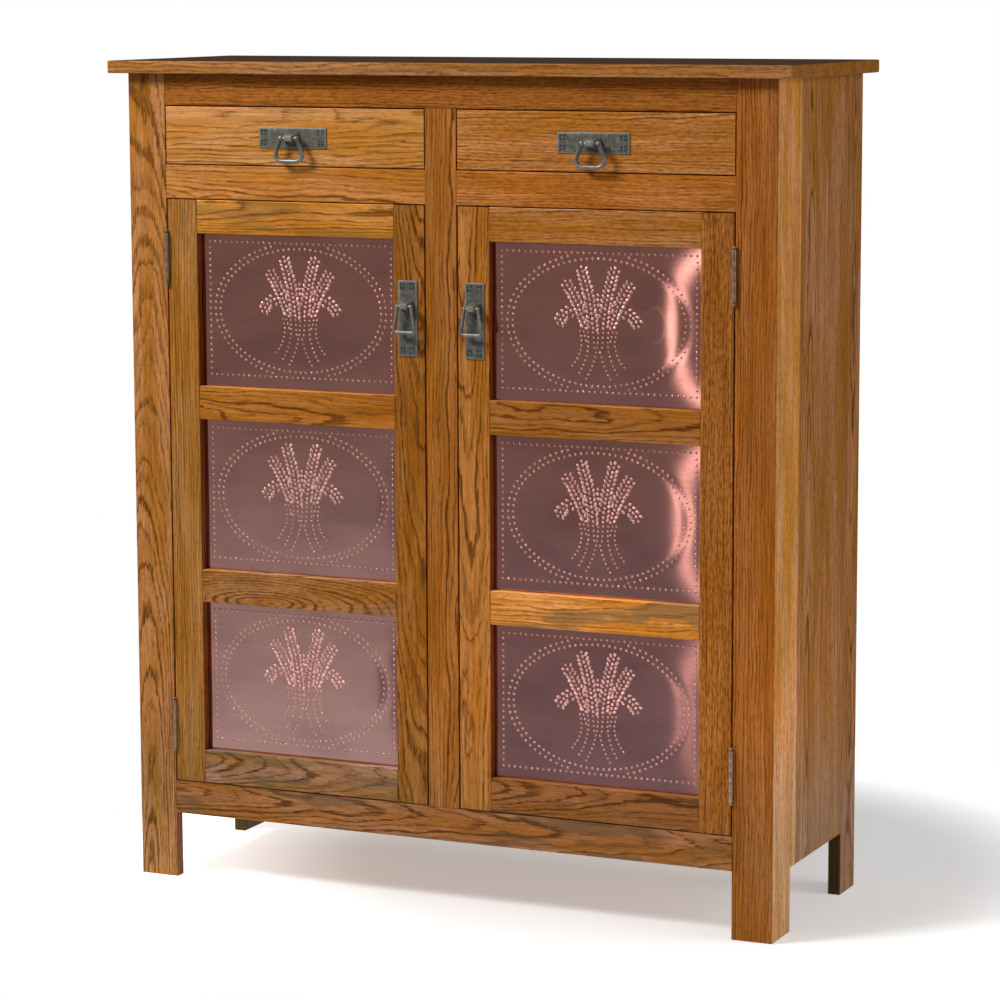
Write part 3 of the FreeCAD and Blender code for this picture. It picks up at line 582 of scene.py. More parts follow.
def glue_lines(piece, axis, places):
    """Divides the faces of a panel at these places, where its boards meet or where its painted shade ends."""
    normal = Vector([float(letter == axis) for letter in AXES])
    for place in places:
        pick(piece, "FACE")
        bpy.ops.mesh.bisect(plane_co=normal * place, plane_no=normal)
        done()


# Materials


def arithmetic(operation, turned=False):
    """A method that adds a Math node for a value and another one, or for the two turned round."""
    def method(self, other):
        pair = (other, self) if turned else (self, other)
        return self.paint.math(operation, *pair)
    return method


class Value:
    """A number that changes over a surface; arithmetic on it adds Math nodes."""

    def __init__(self, paint, socket):
        self.paint = paint
        self.socket = socket

    __add__ = arithmetic("ADD")
    __radd__ = arithmetic("ADD", turned=True)
    __sub__ = arithmetic("SUBTRACT")
    __rsub__ = arithmetic("SUBTRACT", turned=True)
    __mul__ = arithmetic("MULTIPLY")
    __rmul__ = arithmetic("MULTIPLY", turned=True)
    __truediv__ = arithmetic("DIVIDE")
    __pow__ = arithmetic("POWER")

    def clamped(self):
        """The same number, kept between 0 and 1."""
        return self.paint.math("ADD", self, 0.0, clamp=True)

    def between(self, low, high):
        """0 below low, 1 above high, and a smooth step from one to the other."""
        return Value(self.paint, self.paint.node(
            "ShaderNodeMapRange", {"interpolation_type": "SMOOTHSTEP"},
            {"Value": self, "From Min": low, "From Max": high}).outputs["Result"])


class Paint:
    """The nodes of a material, a light or the room, in the making."""

    def __init__(self, owner):
        if isinstance(owner, str):
            owner = bpy.data.materials.new(owner)
        owner.use_nodes = True
        self.owner = owner
        self.tree = owner.node_tree
        self.shader = self.tree.nodes.get("Principled BSDF")

    def node(self, kind, options=None, sockets=None):
        """Adds a node, sets its options, then the values or links of its sockets."""
        made = self.tree.nodes.new(kind)
        for key, option in (options or {}).items():
            setattr(made, key, option)
        for key, value in (sockets or {}).items():
            self.feed(made.inputs[key], value)
        return made

    def feed(self, socket, value):
        """Links a socket or sets its value."""
        if isinstance(value, Value):
            self.tree.links.new(value.socket, socket)
        elif isinstance(value, bpy.types.NodeSocket):
            self.tree.links.new(value, socket)
        elif socket.type == "RGBA" and len(value) == 3:
            socket.default_value = (*value, 1.0)
        else:
            socket.default_value = value

    def math(self, operation, *values, clamp=False):
        """The result of one Math node."""
        made = self.node("ShaderNodeMath", {"operation": operation, "use_clamp": clamp},
                         dict(enumerate(values)))
        return Value(self, made.outputs[0])

    def place(self):
        """The place on the piece, in metres."""
        return self.node("ShaderNodeTexCoord").outputs["Object"]

    def attribute(self, name, output):
        """What the mesh carries under a name."""
        return self.node("ShaderNodeAttribute", {"attribute_name": name}).outputs[output]

    def parts(self, vector):
        """The three numbers of a vector."""
        split = self.node("ShaderNodeSeparateXYZ", sockets={0: vector})
        return [Value(self, output) for output in split.outputs]

    def noise(self, vector, sizes, detail, roughness=0.5):
        """Cloudy noise with its own scale on each axis."""
        scaled = self.node("ShaderNodeVectorMath", {"operation": "MULTIPLY"}, {0: vector, 1: sizes})
        made = self.node("ShaderNodeTexNoise", sockets={
            "Vector": scaled.outputs[0], "Scale": 1.0, "Detail": detail, "Roughness": roughness})
        return Value(self, made.outputs[0])

    def mix(self, share, first, second, blend="MIX"):
        """A colour between two colours."""
        made = self.node("ShaderNodeMix", {"data_type": "RGBA", "blend_type": blend},
                         {0: share, 6: first, 7: second})
        return made.outputs[2]

    def bump(self, height, distance, strength):
        """Fine relief of the surface."""
        made = self.node("ShaderNodeBump", sockets={
            "Height": height, "Distance": distance, "Strength": strength})
        self.feed(self.shader.inputs["Normal"], made.outputs[0])

    def finish(self, **sockets):
        """Sets the shader's sockets; an underscore in a name stands for a space."""
        for key, value in sockets.items():
            self.feed(self.shader.inputs[key.replace("_", " ")], value)
        return self.owner


def wood(paint, grain, light, amber, dark, ring_width, flecks=0.0):
    """Oak cut from a log that runs along grain's first axis: its colour, its pores and its fibres."""
    across, deep = paint.parts(grain)[1:]
    bends = paint.noise(grain, (1.5, 8, 8), 1.0)
    wander = paint.noise(grain, (5, 17, 17), 2.0)
    ripple = paint.noise(grain, (14, 60, 60), 3.0)
    feather = paint.noise(grain, (26, 620, 620), 1.0)
    radius = ((across * across + deep * deep) ** 0.5 + 0.022 * bends + 0.018 * wander + 0.0036 * ripple
              + 0.0022 * feather)
    years = radius / ring_width
    uneven = paint.node("ShaderNodeTexNoise", {"noise_dimensions": "1D"}, {"W": years * 0.45, "Detail": 1.0})
    age = years + 0.7 * Value(paint, uneven.outputs[0])
    phase = paint.math("FRACT", age)
    year = paint.node("ShaderNodeTexWhiteNoise", {"noise_dimensions": "1D"}, {"W": paint.math("FLOOR", age)})
    strength = 0.40 + 0.75 * Value(paint, year.outputs[0])
    early = phase.between(0.0, 0.08) * (1 - phase.between(0.12, 0.52)) * strength
    strokes = paint.noise(grain, (22, 520, 520), 2.0).between(0.36, 0.66)
    fibres = paint.noise(grain, (5, 230, 230), 4.0, 0.62)
    mottle = paint.noise(grain, (95, 380, 380), 3.0).between(0.42, 0.64)
    pores = (early * (0.66 + 0.60 * strokes) * (1 - 0.7 * flecks) + 0.17 * strokes
             + mottle * (0.20 + 0.50 * flecks)).clamped()
    golden = paint.noise(grain, (4, 34, 34), 2.0).between(0.36, 0.66)
    colour = paint.mix(pores * 0.95, paint.mix(golden, light, amber), dark)
    shade = 0.36 + 1.26 * fibres
    tone = paint.node("ShaderNodeCombineColor", sockets={0: shade, 1: shade, 2: shade}).outputs[0]
    return paint.mix(1.0, colour, tone, "MULTIPLY"), pores, fibres


def stained_oak(name, coat=0.0):
    """Stained and lacquered oak of the boards that carry their own grain."""
    oak = settings("oak")
    paint = Paint(name)
    grain = paint.attribute("grain", "Vector")
    # The stain attribute holds each board's stain times painted shade and painted light
    stain = paint.attribute("stain", "Color")
    smoky, flecked, bold = paint.parts(paint.attribute("figure", "Vector"))
    dark = paint.mix(bold, oak.earlywood, oak.bold)
    colour, pores, fibres = wood(paint, grain, oak.latewood, oak.amber, dark, oak.ring_width, flecked)
    clouds = paint.noise(grain, (7, 38, 38), 3.0, 0.55)
    patches = clouds.between(0.50, 0.60) * smoky + clouds.between(0.52, 0.75) * 0.12
    colour = paint.mix(patches.clamped() * 0.75, colour, oak.smoke)
    height = paint.parts(paint.place())[2]
    near_floor = 1 - height.between(0.3 * oak.dull_height, oak.dull_height)
    colour = paint.mix(near_floor, colour, oak.dull_foot, "MULTIPLY")
    paint.bump(fibres * 0.4 - pores, 0.00025, 0.4)
    return paint.finish(Base_Color=paint.mix(1.0, colour, stain, "MULTIPLY"),
                        Roughness=0.38 + 0.14 * pores + 0.08 * fibres, Specular_IOR_Level=0.10,
                        Coat_Weight=coat, Coat_Roughness=0.04)


def plain_wood(name, order, light, dark, roughness):
    """Wood of the pieces inside, its grain along one axis of the part."""
    paint = Paint(name)
    parts = paint.parts(paint.place())
    along, across, deep = (parts[AXES.index(axis)] for axis in order)
    tilted = deep + 0.19 + 0.03 * along
    grain = paint.node("ShaderNodeCombineXYZ", sockets={0: along, 1: across * 0.8 + 0.03, 2: tilted})
    colour, pores, fibres = wood(paint, grain.outputs[0], light, light, dark, 0.005)
    paint.bump(fibres * 0.4 - pores, 0.0002, 0.4)
    return paint.finish(Base_Color=colour, Roughness=roughness + 0.1 * pores)


def rubbed_copper(name):
    """Copper sheet with level brush marks and a little tarnish."""
    copper = settings("copper")
    paint = Paint(name)
    place = paint.place()
    brush = paint.noise(place, (9, 40, 1500), 3.0, 0.65)
    clouds = paint.noise(place, (7, 7, 16), 4.0)
    spots = paint.noise(place, (160, 160, 160), 2.0).between(0.66, 0.78)
    dull = (clouds.between(0.35, 0.75) * 0.45 + brush.between(0.35, 0.8) * 0.30 + spots * 0.25).clamped()
    raised = Value(paint, paint.attribute("raised", "Fac"))
    paint.bump(brush, 0.00001, 0.6)
    colour = paint.mix(raised, paint.mix(dull, copper.sheet, copper.tarnish), copper.bright)
    colour = paint.mix((raised - 1).clamped(), colour, copper.gleam)
    # Below zero, on the rim along the frame: patina and painted shade
    colour = paint.mix((0 - raised).clamped(), colour, copper.patina_and_painted_shade)
    return paint.finish(Base_Color=colour, Metallic=1.0,
                        Roughness=0.065 + 0.04 * dull + 0.24 * (raised * raised).clamped(),
                        Anisotropic=0.85, Anisotropic_Rotation=0.25)


def cast_metal(name, dark, worn, roughness, grit, metallic):
    """Dark metal, cloudy from the casting and lighter where it is rubbed."""
    paint = Paint(name)
    place = paint.place()
    edges = Value(paint, paint.node("ShaderNodeNewGeometry").outputs["Pointiness"]).between(0.505, 0.56)
    clouds = paint.noise(place, (140, 140, 140), 4.0)
    grains = paint.noise(place, (900, 900, 900), 2.0)
    rubbed = (edges * 0.65 + clouds.between(0.42, 0.72) * 0.45 + grains.between(0.5, 0.8) * 0.25).clamped()
    paint.bump(grains * 0.5 + clouds, grit, 0.5)
    return paint.finish(Base_Color=paint.mix(rubbed, dark, worn), Metallic=metallic,
                        Roughness=roughness + 0.14 * grains - 0.10 * rubbed)


def cast_pewter(name):
    """Dark pewter of the pull plates."""
    iron = settings("iron")
    return cast_metal(name, iron.casting, iron.worn, 0.55, 0.00016, 0.35)


def moulded_plastic(name):
    """Brown plastic of the door catches."""
    paint = Paint(name)
    place = paint.place()
    grains = paint.noise(place, (1600, 1600, 1600), 2.0)
    clouds = paint.noise(place, (60, 60, 60), 3.0)
    paint.bump(grains, 0.00006, 0.4)
    return paint.finish(Base_Color=paint.mix(clouds, (0.055, 0.030, 0.018), (0.085, 0.050, 0.030)),
                        Roughness=0.42 + 0.12 * grains)


FINISHES = {
    "stained_oak": stained_oak,
    "lacquered_oak": lambda name: stained_oak(name, 1.0),
    "oak_along_x": lambda name: plain_wood(name, "XYZ", *INSIDE_OAK),
    "oak_along_y": lambda name: plain_wood(name, "YXZ", *INSIDE_OAK),
    "drawer_wood": lambda name: plain_wood(name, "YXZ", (0.66, 0.44, 0.24), (0.42, 0.24, 0.11), 0.5),
    "drawer_ply": lambda name: plain_wood(name, "XYZ", (0.62, 0.42, 0.24), (0.45, 0.27, 0.13), 0.5),
    "rubbed_copper": rubbed_copper,
    "cast_pewter": cast_pewter,
    "rubbed_pewter": lambda name: cast_metal(
        name, (0.125, 0.13, 0.11), (0.36, 0.36, 0.32), 0.40, 0.00010, 0.6),
    "bronzed_steel": lambda name: cast_metal(
        name, settings("iron").hinge, (0.42, 0.29, 0.19), 0.40, 0.00004, 0.6),
    "zinc_steel": lambda name: cast_metal(
        name, (0.42, 0.42, 0.40), (0.62, 0.62, 0.60), 0.32, 0.00003, 0.9),
    "moulded_plastic": moulded_plastic,
}


def finish(name):
    """A finish by its name, made the first time that it is asked for."""
    return bpy.data.materials.get(name) or FINISHES[name](name)


def dress(piece, body, slot, finish_name, *nodes):
    """Gives a piece its finish and its body, and hides the solids that it stands for."""
    piece.data.materials.clear()
    piece.data.materials.append(finish(finish_name))
    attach(piece, body)
    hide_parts(*nodes)


# Boards


def oak_board(node, low, high, axes, body="carcass", cuts=(), number="", miter=None):
    """A board of stained oak in place of a solid."""
    piece = board(f"{node}_board{number}", low, high, axes[0], cuts)
    if miter:
        saw(piece, *miter)
    painted_shade_and_light = []
    # Right-hand edges of upright boards get painted shade with a painted reddish reflection of the copper
    if axes == "ZXY":
        painted_shade_and_light = [((1, 0, 0), EDGE_PAINTED_SHADE, math.inf)]
    # Upward faces of the door boards get painted light
    elif body.endswith("_door"):
        painted_shade_and_light = [((0, 0, 1), LEDGE_PAINTED_LIGHT, math.inf)]
    lay_grain(piece, axes, [cut_of(f"{node}{number}")], painted_shade_and_light=painted_shade_and_light)
    dress(piece, body, "oak", "stained_oak", node)


def wide_board(node, low, high, shares, number="", ease=None, finish_name="stained_oak"):
    """A level board, glued up from several across its depth, in place of a solid."""
    piece = board(f"{node}{number}_panel", low, high, "X", ease=ease)
    joints = [low.y + share * (high.y - low.y) for share in shares]
    glue_lines(piece, "Y", joints)
    lay_grain(piece, "XYZ", [cut_of(node + number, index) for index in range(len(joints) + 1)], joints)
    dress(piece, "carcass", "oak", finish_name, node)


def grown(corners, amount):
    """A box made larger all round."""
    low, high = corners
    return low - Vector((amount,) * 3), high + Vector((amount,) * 3)


def hinge_mortises(name, wood_edge, leaf):
    """The places of the two hinges in the edge of a post or a stile."""
    leaf_low, leaf_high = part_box(f"{name}_door_hinge_leaves")
    left, right = sorted((wood_edge, wood_edge + leaf))
    return [((left, FACE - PAST_WOOD, bottom), (right, leaf_high.y, bottom + HINGE_HEIGHT))
            for bottom in (leaf_low.z, leaf_high.z - HINGE_HEIGHT)]


class PIESAFE_OT_face_frame(bpy.types.Operator):
    """Makes the posts, rails and upright of the front"""

    bl_idname = "pie_safe.face_frame"
    bl_label = "Face frame"
    bl_options = {"REGISTER", "UNDO"}

    def execute(self, context):
        for name, side in SIDES.items():
            low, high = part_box(f"{name}_post")
            outer = high.x if side > 0 else low.x
            mortises = hinge_mortises(name, side * OPENING, side * LEAF)
            oak_board(f"{name}_post", low, high, "ZXY", cuts=mortises, miter=((outer, FACE, 0), (side, 1, 0)))
        for node in ("top_rail", "bottom_rail"):
            low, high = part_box(node)
            oak_board(node, (-OPENING, low.y, low.z), (OPENING, high.y, high.z), "XZY")
        low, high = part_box("mid_rails")
        for name, side in SIDES.items():
            left, right = sorted((side * UPRIGHT, side * OPENING))
            oak_board("mid_rails", (left, low.y, low.z), (right, high.y, high.z), "XZY", number=f"_{name}")
        low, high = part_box("center_stile")
        oak_board("center_stile", (low.x, low.y, DOOR_SILL), (high.x, high.y, TOP_OPENING), "ZXY")
        return {"FINISHED"}


class PIESAFE_OT_sides(bpy.types.Operator):
    """Makes the side panels, each glued up from boards and cut out at the foot"""

    bl_idname = "pie_safe.sides"
    bl_label = "Sides"
    bl_options = {"REGISTER", "UNDO"}

    def execute(self, context):
        oak = settings("oak")
        back_low, back_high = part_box("back_panel")
        for name, side in SIDES.items():
            node = f"{name}_side"
            low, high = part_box(node)
            outer = high.x if side > 0 else low.x
            rebate = sorted((side * back_high.x, outer - side * (high.x - low.x) - side * PAST_WOOD))
            arch = ((low.x - PAST_WOOD, low.y + oak.foot_front, -PAST_WOOD),
                    (high.x + PAST_WOOD, high.y - oak.foot_back, oak.arch_height))
            step = ((rebate[0], back_low.y, back_low.z),
                    (rebate[1], high.y + PAST_WOOD, high.z + PAST_WOOD))
            piece = board(f"{node}_panel", low, high, "Z", (arch, step))
            saw(piece, (outer, FACE, 0), (-side, -1, 0))
            joints = [low.y + place for place in SIDE_JOINTS]
            glue_lines(piece, "Y", joints)
            glue_lines(piece, "Z", [oak.arch_height + ARCH_SPLIT])
            # The inner and front-facing faces of the feet, below the cut-out's top, get painted shade
            lay_grain(piece, "ZYX", [cut_of(node, number) for number in range(len(joints) + 1)], joints,
                      [(way, FOOT_PAINTED_SHADE, oak.arch_height) for way in ((-side, 0, 0), (0, -1, 0))])
            dress(piece, "carcass", "oak", "stained_oak", node)
        return {"FINISHED"}


class PIESAFE_OT_top(bpy.types.Operator):
    """Makes the top board with its rounded edges"""

    bl_idname = "pie_safe.top"
    bl_label = "Top"
    bl_options = {"REGISTER", "UNDO"}

    def execute(self, context):
        wide_board("top_board", *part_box("top_board"), TOP_JOINTS, ease=settings("oak").top_ease,
                   finish_name="lacquered_oak")
        return {"FINISHED"}


class PIESAFE_OT_inside(bpy.types.Operator):
    """Makes the floor, shelves, drawer board and back, and finishes the strips and fittings inside"""

    bl_idname = "pie_safe.inside"
    bl_label = "Inside"
    bl_options = {"REGISTER", "UNDO"}

    def execute(self, context):
        for node in ("bottom_board", "drawer_deck"):
            wide_board(node, *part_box(node), INSIDE_JOINTS)
        low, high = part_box("shelves")
        for number, bottom in (("_lower", low.z), ("_upper", high.z - SHELF_THICKNESS)):
            wide_board("shelves", Vector((low.x, low.y, bottom)),
                       Vector((high.x, high.y, bottom + SHELF_THICKNESS)), INSIDE_JOINTS, number)
        low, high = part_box("back_panel")
        piece = board("back_panel_sheet", low, high, "Z", ease=PLYWOOD_EASE)
        lay_grain(piece, "ZXY", [cut_of("back_panel")])
        dress(piece, "carcass", "plywood", "stained_oak", "back_panel")
        finishes = dict(INSIDE_FINISHES)
        for name in SIDES:
            finishes.update({f"{name}_{node}": kind for node, kind in FINISHES_OF_EACH_SIDE.items()})
        for node, finish_name in finishes.items():
            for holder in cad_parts[node].material_slots:
                holder.material = finish(finish_name)
        return {"FINISHED"}


class PIESAFE_OT_door_frames(bpy.types.Operator):
    """Makes the stiles and rails of the doors"""

    bl_idname = "pie_safe.door_frames"
    bl_label = "Door frames"
    bl_options = {"REGISTER", "UNDO"}

    def execute(self, context):
        for name, side in SIDES.items():
            door = f"{name}_door"
            hinge_low, hinge_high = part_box(f"{door}_hinge_stile")
            pull_low, pull_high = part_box(f"{door}_pull_stile")
            outer = hinge_high.x if side > 0 else hinge_low.x
            steps = []
            for level in LEVELS:
                low, high = grown(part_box(f"{door}_{level}_panel"), PANEL_CLEARANCE)
                steps.append(((low.x, low.y + PANEL_CLEARANCE, low.z),
                              (high.x, hinge_high.y + PAST_WOOD, high.z)))
            mortises = hinge_mortises(name, outer, -side * LEAF)
            oak_board(f"{door}_hinge_stile", hinge_low, hinge_high, "ZXY", door, steps + mortises)
            strike = grown(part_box(f"{door}_strike"), STRIKE_CLEARANCE)
            oak_board(f"{door}_pull_stile", pull_low, pull_high, "ZXY", door, [*steps, strike])
            left, right = sorted((hinge_low.x, hinge_high.x, pull_low.x, pull_high.x))[1:3]
            for node in ("top_rail", "bottom_rail"):
                low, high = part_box(f"{door}_{node}")
                oak_board(f"{door}_{node}", (left, low.y, low.z), (right, high.y, high.z), "XZY", door, steps)
            tall = high.z - low.z
            low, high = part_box(f"{door}_mid_rails")
            for number, bottom in (("_lower", low.z), ("_upper", high.z - tall)):
                oak_board(f"{door}_mid_rails", (left, low.y, bottom), (right, high.y, bottom + tall), "XZY",
                          door, steps, number)
        return {"FINISHED"}


class PIESAFE_OT_drawer_fronts(bpy.types.Operator):
    """Makes the drawer fronts"""

    bl_idname = "pie_safe.drawer_fronts"
    bl_label = "Drawer fronts"
    bl_options = {"REGISTER", "UNDO"}

    def execute(self, context):
        for name in SIDES:
            node = f"{name}_drawer_front"
            low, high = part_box(node)
            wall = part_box(f"{name}_drawer_box")[0].y
            cuts = [((x - DRAWER_WALL, wall, low.z - PAST_WOOD),
                     (x + DRAWER_WALL, high.y + PAST_WOOD, high.z + PAST_WOOD)) for x in (low.x, high.x)]
            oak_board(node, low, high, "XZY", f"{name}_drawer", cuts)
        return {"FINISHED"}


# Copper panels


class Mark(NamedTuple):
    """One punched mark: its place, half length, half width, turn, height next to a dot's, and shine."""

    x: float
    z: float
    tall: float
    wide: float
    turn: float = 0.0
    rise: float = 1.0
    shine: float = 1.0


def along_line(points, pitch):
    """Places at an even pitch along a line of many points."""
    points = [Vector(point) for point in points]
    steps = [0.0]
    for first, second in zip(points, points[1:]):
        steps.append(steps[-1] + (second - first).length)
    count = max(1, round(steps[-1] / pitch))
    places = []
    for index in range(count + 1):
        reach = steps[-1] * index / count
        part = min(max(np.searchsorted(steps, reach), 1), len(steps) - 1)
        share = (reach - steps[part - 1]) / (steps[part] - steps[part - 1])
        places.append(points[part - 1].lerp(points[part], share))
    return places


def sheaf_line(bends, side, count=24):
    """A bent line of the sheaf on one side, in metres, from the first of its places to the last."""
    start, pull, end = (Vector((-side * x / 1000, z / 1000)) for x, z in bends)
    shares = [index / count for index in range(count + 1)]
    return [start * (1 - s) ** 2 + pull * 2 * s * (1 - s) + end * s ** 2 for s in shares]


def ellipse(half_width, half_height, count=240):
    """Points round an ellipse."""
    turns = [2 * math.pi * index / count for index in range(count + 1)]
    return [(half_width * math.cos(turn), half_height * math.sin(turn)) for turn in turns]


def apart(mark, others, distance):
    """Whether a mark keeps its distance from all others."""
    return all((mark.x - other.x) ** 2 + (mark.z - other.z) ** 2 > distance ** 2 for other in others)


def ear(line, chance):
    """An ear of wheat along a line: three rows of plump grains, no two alike, that point up and outwards."""
    marks = []
    places = along_line(line, EAR_STEP)
    for index, place in enumerate(places):
        before, after = places[max(index - 1, 0)], places[min(index + 1, len(places) - 1)]
        way = (after - before).normalized()
        across = Vector((-way.y, way.x))
        heading = math.atan2(way.x, way.y)
        for row in EAR_ROWS:
            grain = (place + way * (EAR_STEP / 2 * (1 - abs(row)) + chance.uniform(*GRAIN_STRAY))
                     + across * (row * EAR_REACH + chance.uniform(*GRAIN_STRAY)))
            tall = GRAIN_TALL if row else GRAIN_WIDE
            marks.append(Mark(*grain, tall * chance.uniform(*GRAIN_LENGTHS),
                              GRAIN_WIDE * chance.uniform(*GRAIN_WIDTHS),
                              heading - row * chance.uniform(*GRAIN_TURNS), chance.uniform(*GRAIN_RISES),
                              chance.uniform(*GRAIN_SHINES)))
    return marks


def ornament():
    """The marks of one copper panel: dotted border, double oval and a sheaf of wheat."""
    copper = settings("copper")
    dot = copper.stud / 2
    marks = []
    half_width, half_height = copper.border_width / 2, copper.border_height / 2
    corners = [(-half_width, -half_height), (half_width, -half_height), (half_width, half_height),
               (-half_width, half_height)]
    for first, second in zip(corners, corners[1:] + corners[:1]):
        marks += [Mark(*place, dot, dot) for place in along_line((first, second), copper.pitch)[:-1]]
    for row, pitch in enumerate(OVAL_PITCHES):
        inset = row * copper.oval_gap
        oval = ellipse(copper.oval_width / 2 - inset, copper.oval_height / 2 - inset)
        marks += [Mark(*place, dot, dot) for place in along_line(oval, copper.pitch * pitch)[:-1]
                  if abs(place.y) < half_height - copper.stud]
    for side in SIDES.values():
        for bends in STALKS:
            stalk = [Mark(*place, STALK_DOT * dot, STALK_DOT * dot, rise=STALK_RISE)
                     for place in along_line(sheaf_line(bends, side), STALK_PITCH)]
            marks += [mark for mark in stalk if apart(mark, marks, STALK_GAP)]
    chance = random.Random("sheaf")
    for bends in EARS:
        for side in SIDES.values():
            for mark in ear(sheaf_line(bends, side), chance):
                if apart(mark, marks, GRAIN_GAP):
                    marks.append(mark)
    return marks


def dome():
    """A low dome that stands out of the sheet towards the front, one unit in radius and in height."""
    bpy.ops.mesh.primitive_uv_sphere_add(segments=8, ring_count=6, radius=1, rotation=(math.pi / 2, 0, 0))
    piece = newest("dome")
    saw(piece, (0, DOME_SINK, 0), (0, 1, 0))
    return piece


def punched(marks, rise):
    """All marks of one panel as one mesh round its middle, each with its shine."""
    pattern = dome()
    pattern.data.attributes.new("raised", "FLOAT", "POINT")
    corners = len(pattern.data.vertices)
    copies = []
    for mark in marks:
        copy = placed("mark", pattern.data.copy())
        copy.matrix_world = (Matrix.Translation((mark.x, 0, mark.z)) @ Matrix.Rotation(mark.turn, 4, "Y")
                             @ Matrix.Diagonal((mark.wide, rise * mark.rise, mark.tall, 1)))
        copy.data.attributes["raised"].data.foreach_set("value", [mark.shine] * corners)
        copies.append(copy)
    bpy.data.objects.remove(pattern)
    return settle(join("ornament", copies))


def push(piece, shares, distance):
    """Moves each vertex of a piece along Y by its share of a distance."""
    group = piece.vertex_groups.new(name="push")
    for index, share in enumerate(shares):
        group.add([index], float(share), "REPLACE")
    alter(piece, "DISPLACE", direction="Y", mid_level=0.0, strength=distance, vertex_group=group.name)
    piece.vertex_groups.clear()


class PIESAFE_OT_copper_panels(bpy.types.Operator):
    """Makes the copper panels: bowed sheets with raised dots and grains"""

    bl_idname = "pie_safe.copper_panels"
    bl_label = "Copper panels"
    bl_options = {"REGISTER", "UNDO"}

    def execute(self, context):
        master = punched(ornament(), settings("copper").stud_rise)
        for name, level in itertools.product(SIDES, LEVELS):
            marks = placed("marks", master.data.copy())
            self.panel(f"{name}_door_{level}_panel", f"{name}_door", marks, *PANEL_SHAPES[name, level])
        bpy.data.objects.remove(master)
        return {"FINISHED"}

    def panel(self, node, body, marks, bowed, swollen):
        """One sheet with its dark rim of patina and painted shade, and its marks, bowed and swollen."""
        copper = settings("copper")
        low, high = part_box(node)
        middle = (low + high) / 2
        bpy.ops.mesh.primitive_grid_add(
            x_subdivisions=PANEL_GRID[0], y_subdivisions=PANEL_GRID[1], size=1,
            location=(middle.x, low.y, middle.z), rotation=(math.pi / 2, 0, 0))
        bpy.context.object.scale = (high.x - low.x, high.z - low.z, 1)
        piece = newest(f"{node}_sheet")
        alter(piece, "SOLIDIFY", thickness=high.y - low.y)
        points = np.array([vertex.co for vertex in piece.data.vertices])
        inner = np.array((high - low) / 2)[[0, 2]] - PANEL_RIM
        # Vertices along the frame get -1, the dark rim of patina and painted shade
        rim = np.any(np.abs(points - middle)[:, [0, 2]] > inner, axis=1)
        piece.data.attributes.new("raised", "FLOAT", "POINT").data.foreach_set("value", -1.0 * rim)
        centre = Vector((middle.x + ORNAMENT_SHIFT[0], low.y, middle.z + ORNAMENT_SHIFT[1]))
        marks.location = centre
        settle(marks)
        piece = join(piece.name, [piece, marks])
        points = np.array([vertex.co for vertex in piece.data.vertices])
        x = np.clip((points[:, 0] - middle.x) / ((high.x - low.x) / 2 - PANEL_RIM), -1, 1)
        z = np.clip((points[:, 2] - middle.z) / ((high.z - low.z) / 2 - PANEL_RIM), -1, 1)
        belly = (1 - x ** 4) * (1 - np.abs(z) ** 3)
        swell = np.exp(-0.5 * ((np.abs(points[:, 0] - centre.x) - SWELL_PLACE) / SWELL_WIDTH) ** 2
                       - 0.5 * ((points[:, 2] - centre.z) / SWELL_HEIGHT) ** 2)
        ring = np.hypot((points[:, 0] - centre.x) / (copper.oval_width / 2 - copper.oval_gap / 2),
                        (points[:, 2] - centre.z) / (copper.oval_height / 2 - copper.oval_gap / 2))
        groove = np.exp(-((ring - 1) / GROOVE_WIDTH) ** 2)
        push(piece, belly, -bowed * copper.bow)
        push(piece, swell, -swollen * copper.swell)
        push(piece, groove, copper.crease)
        smooth(piece, 40)
        dress(piece, body, "copper", "rubbed_copper", node)


# Pulls and hinges


def rod(name, radius, reach, place):
    """A round bar along X."""
    bpy.ops.mesh.primitive_cylinder_add(vertices=ROUND, radius=radius, depth=reach, location=place,
                                        rotation=(0, math.pi / 2, 0))
    return newest(name)


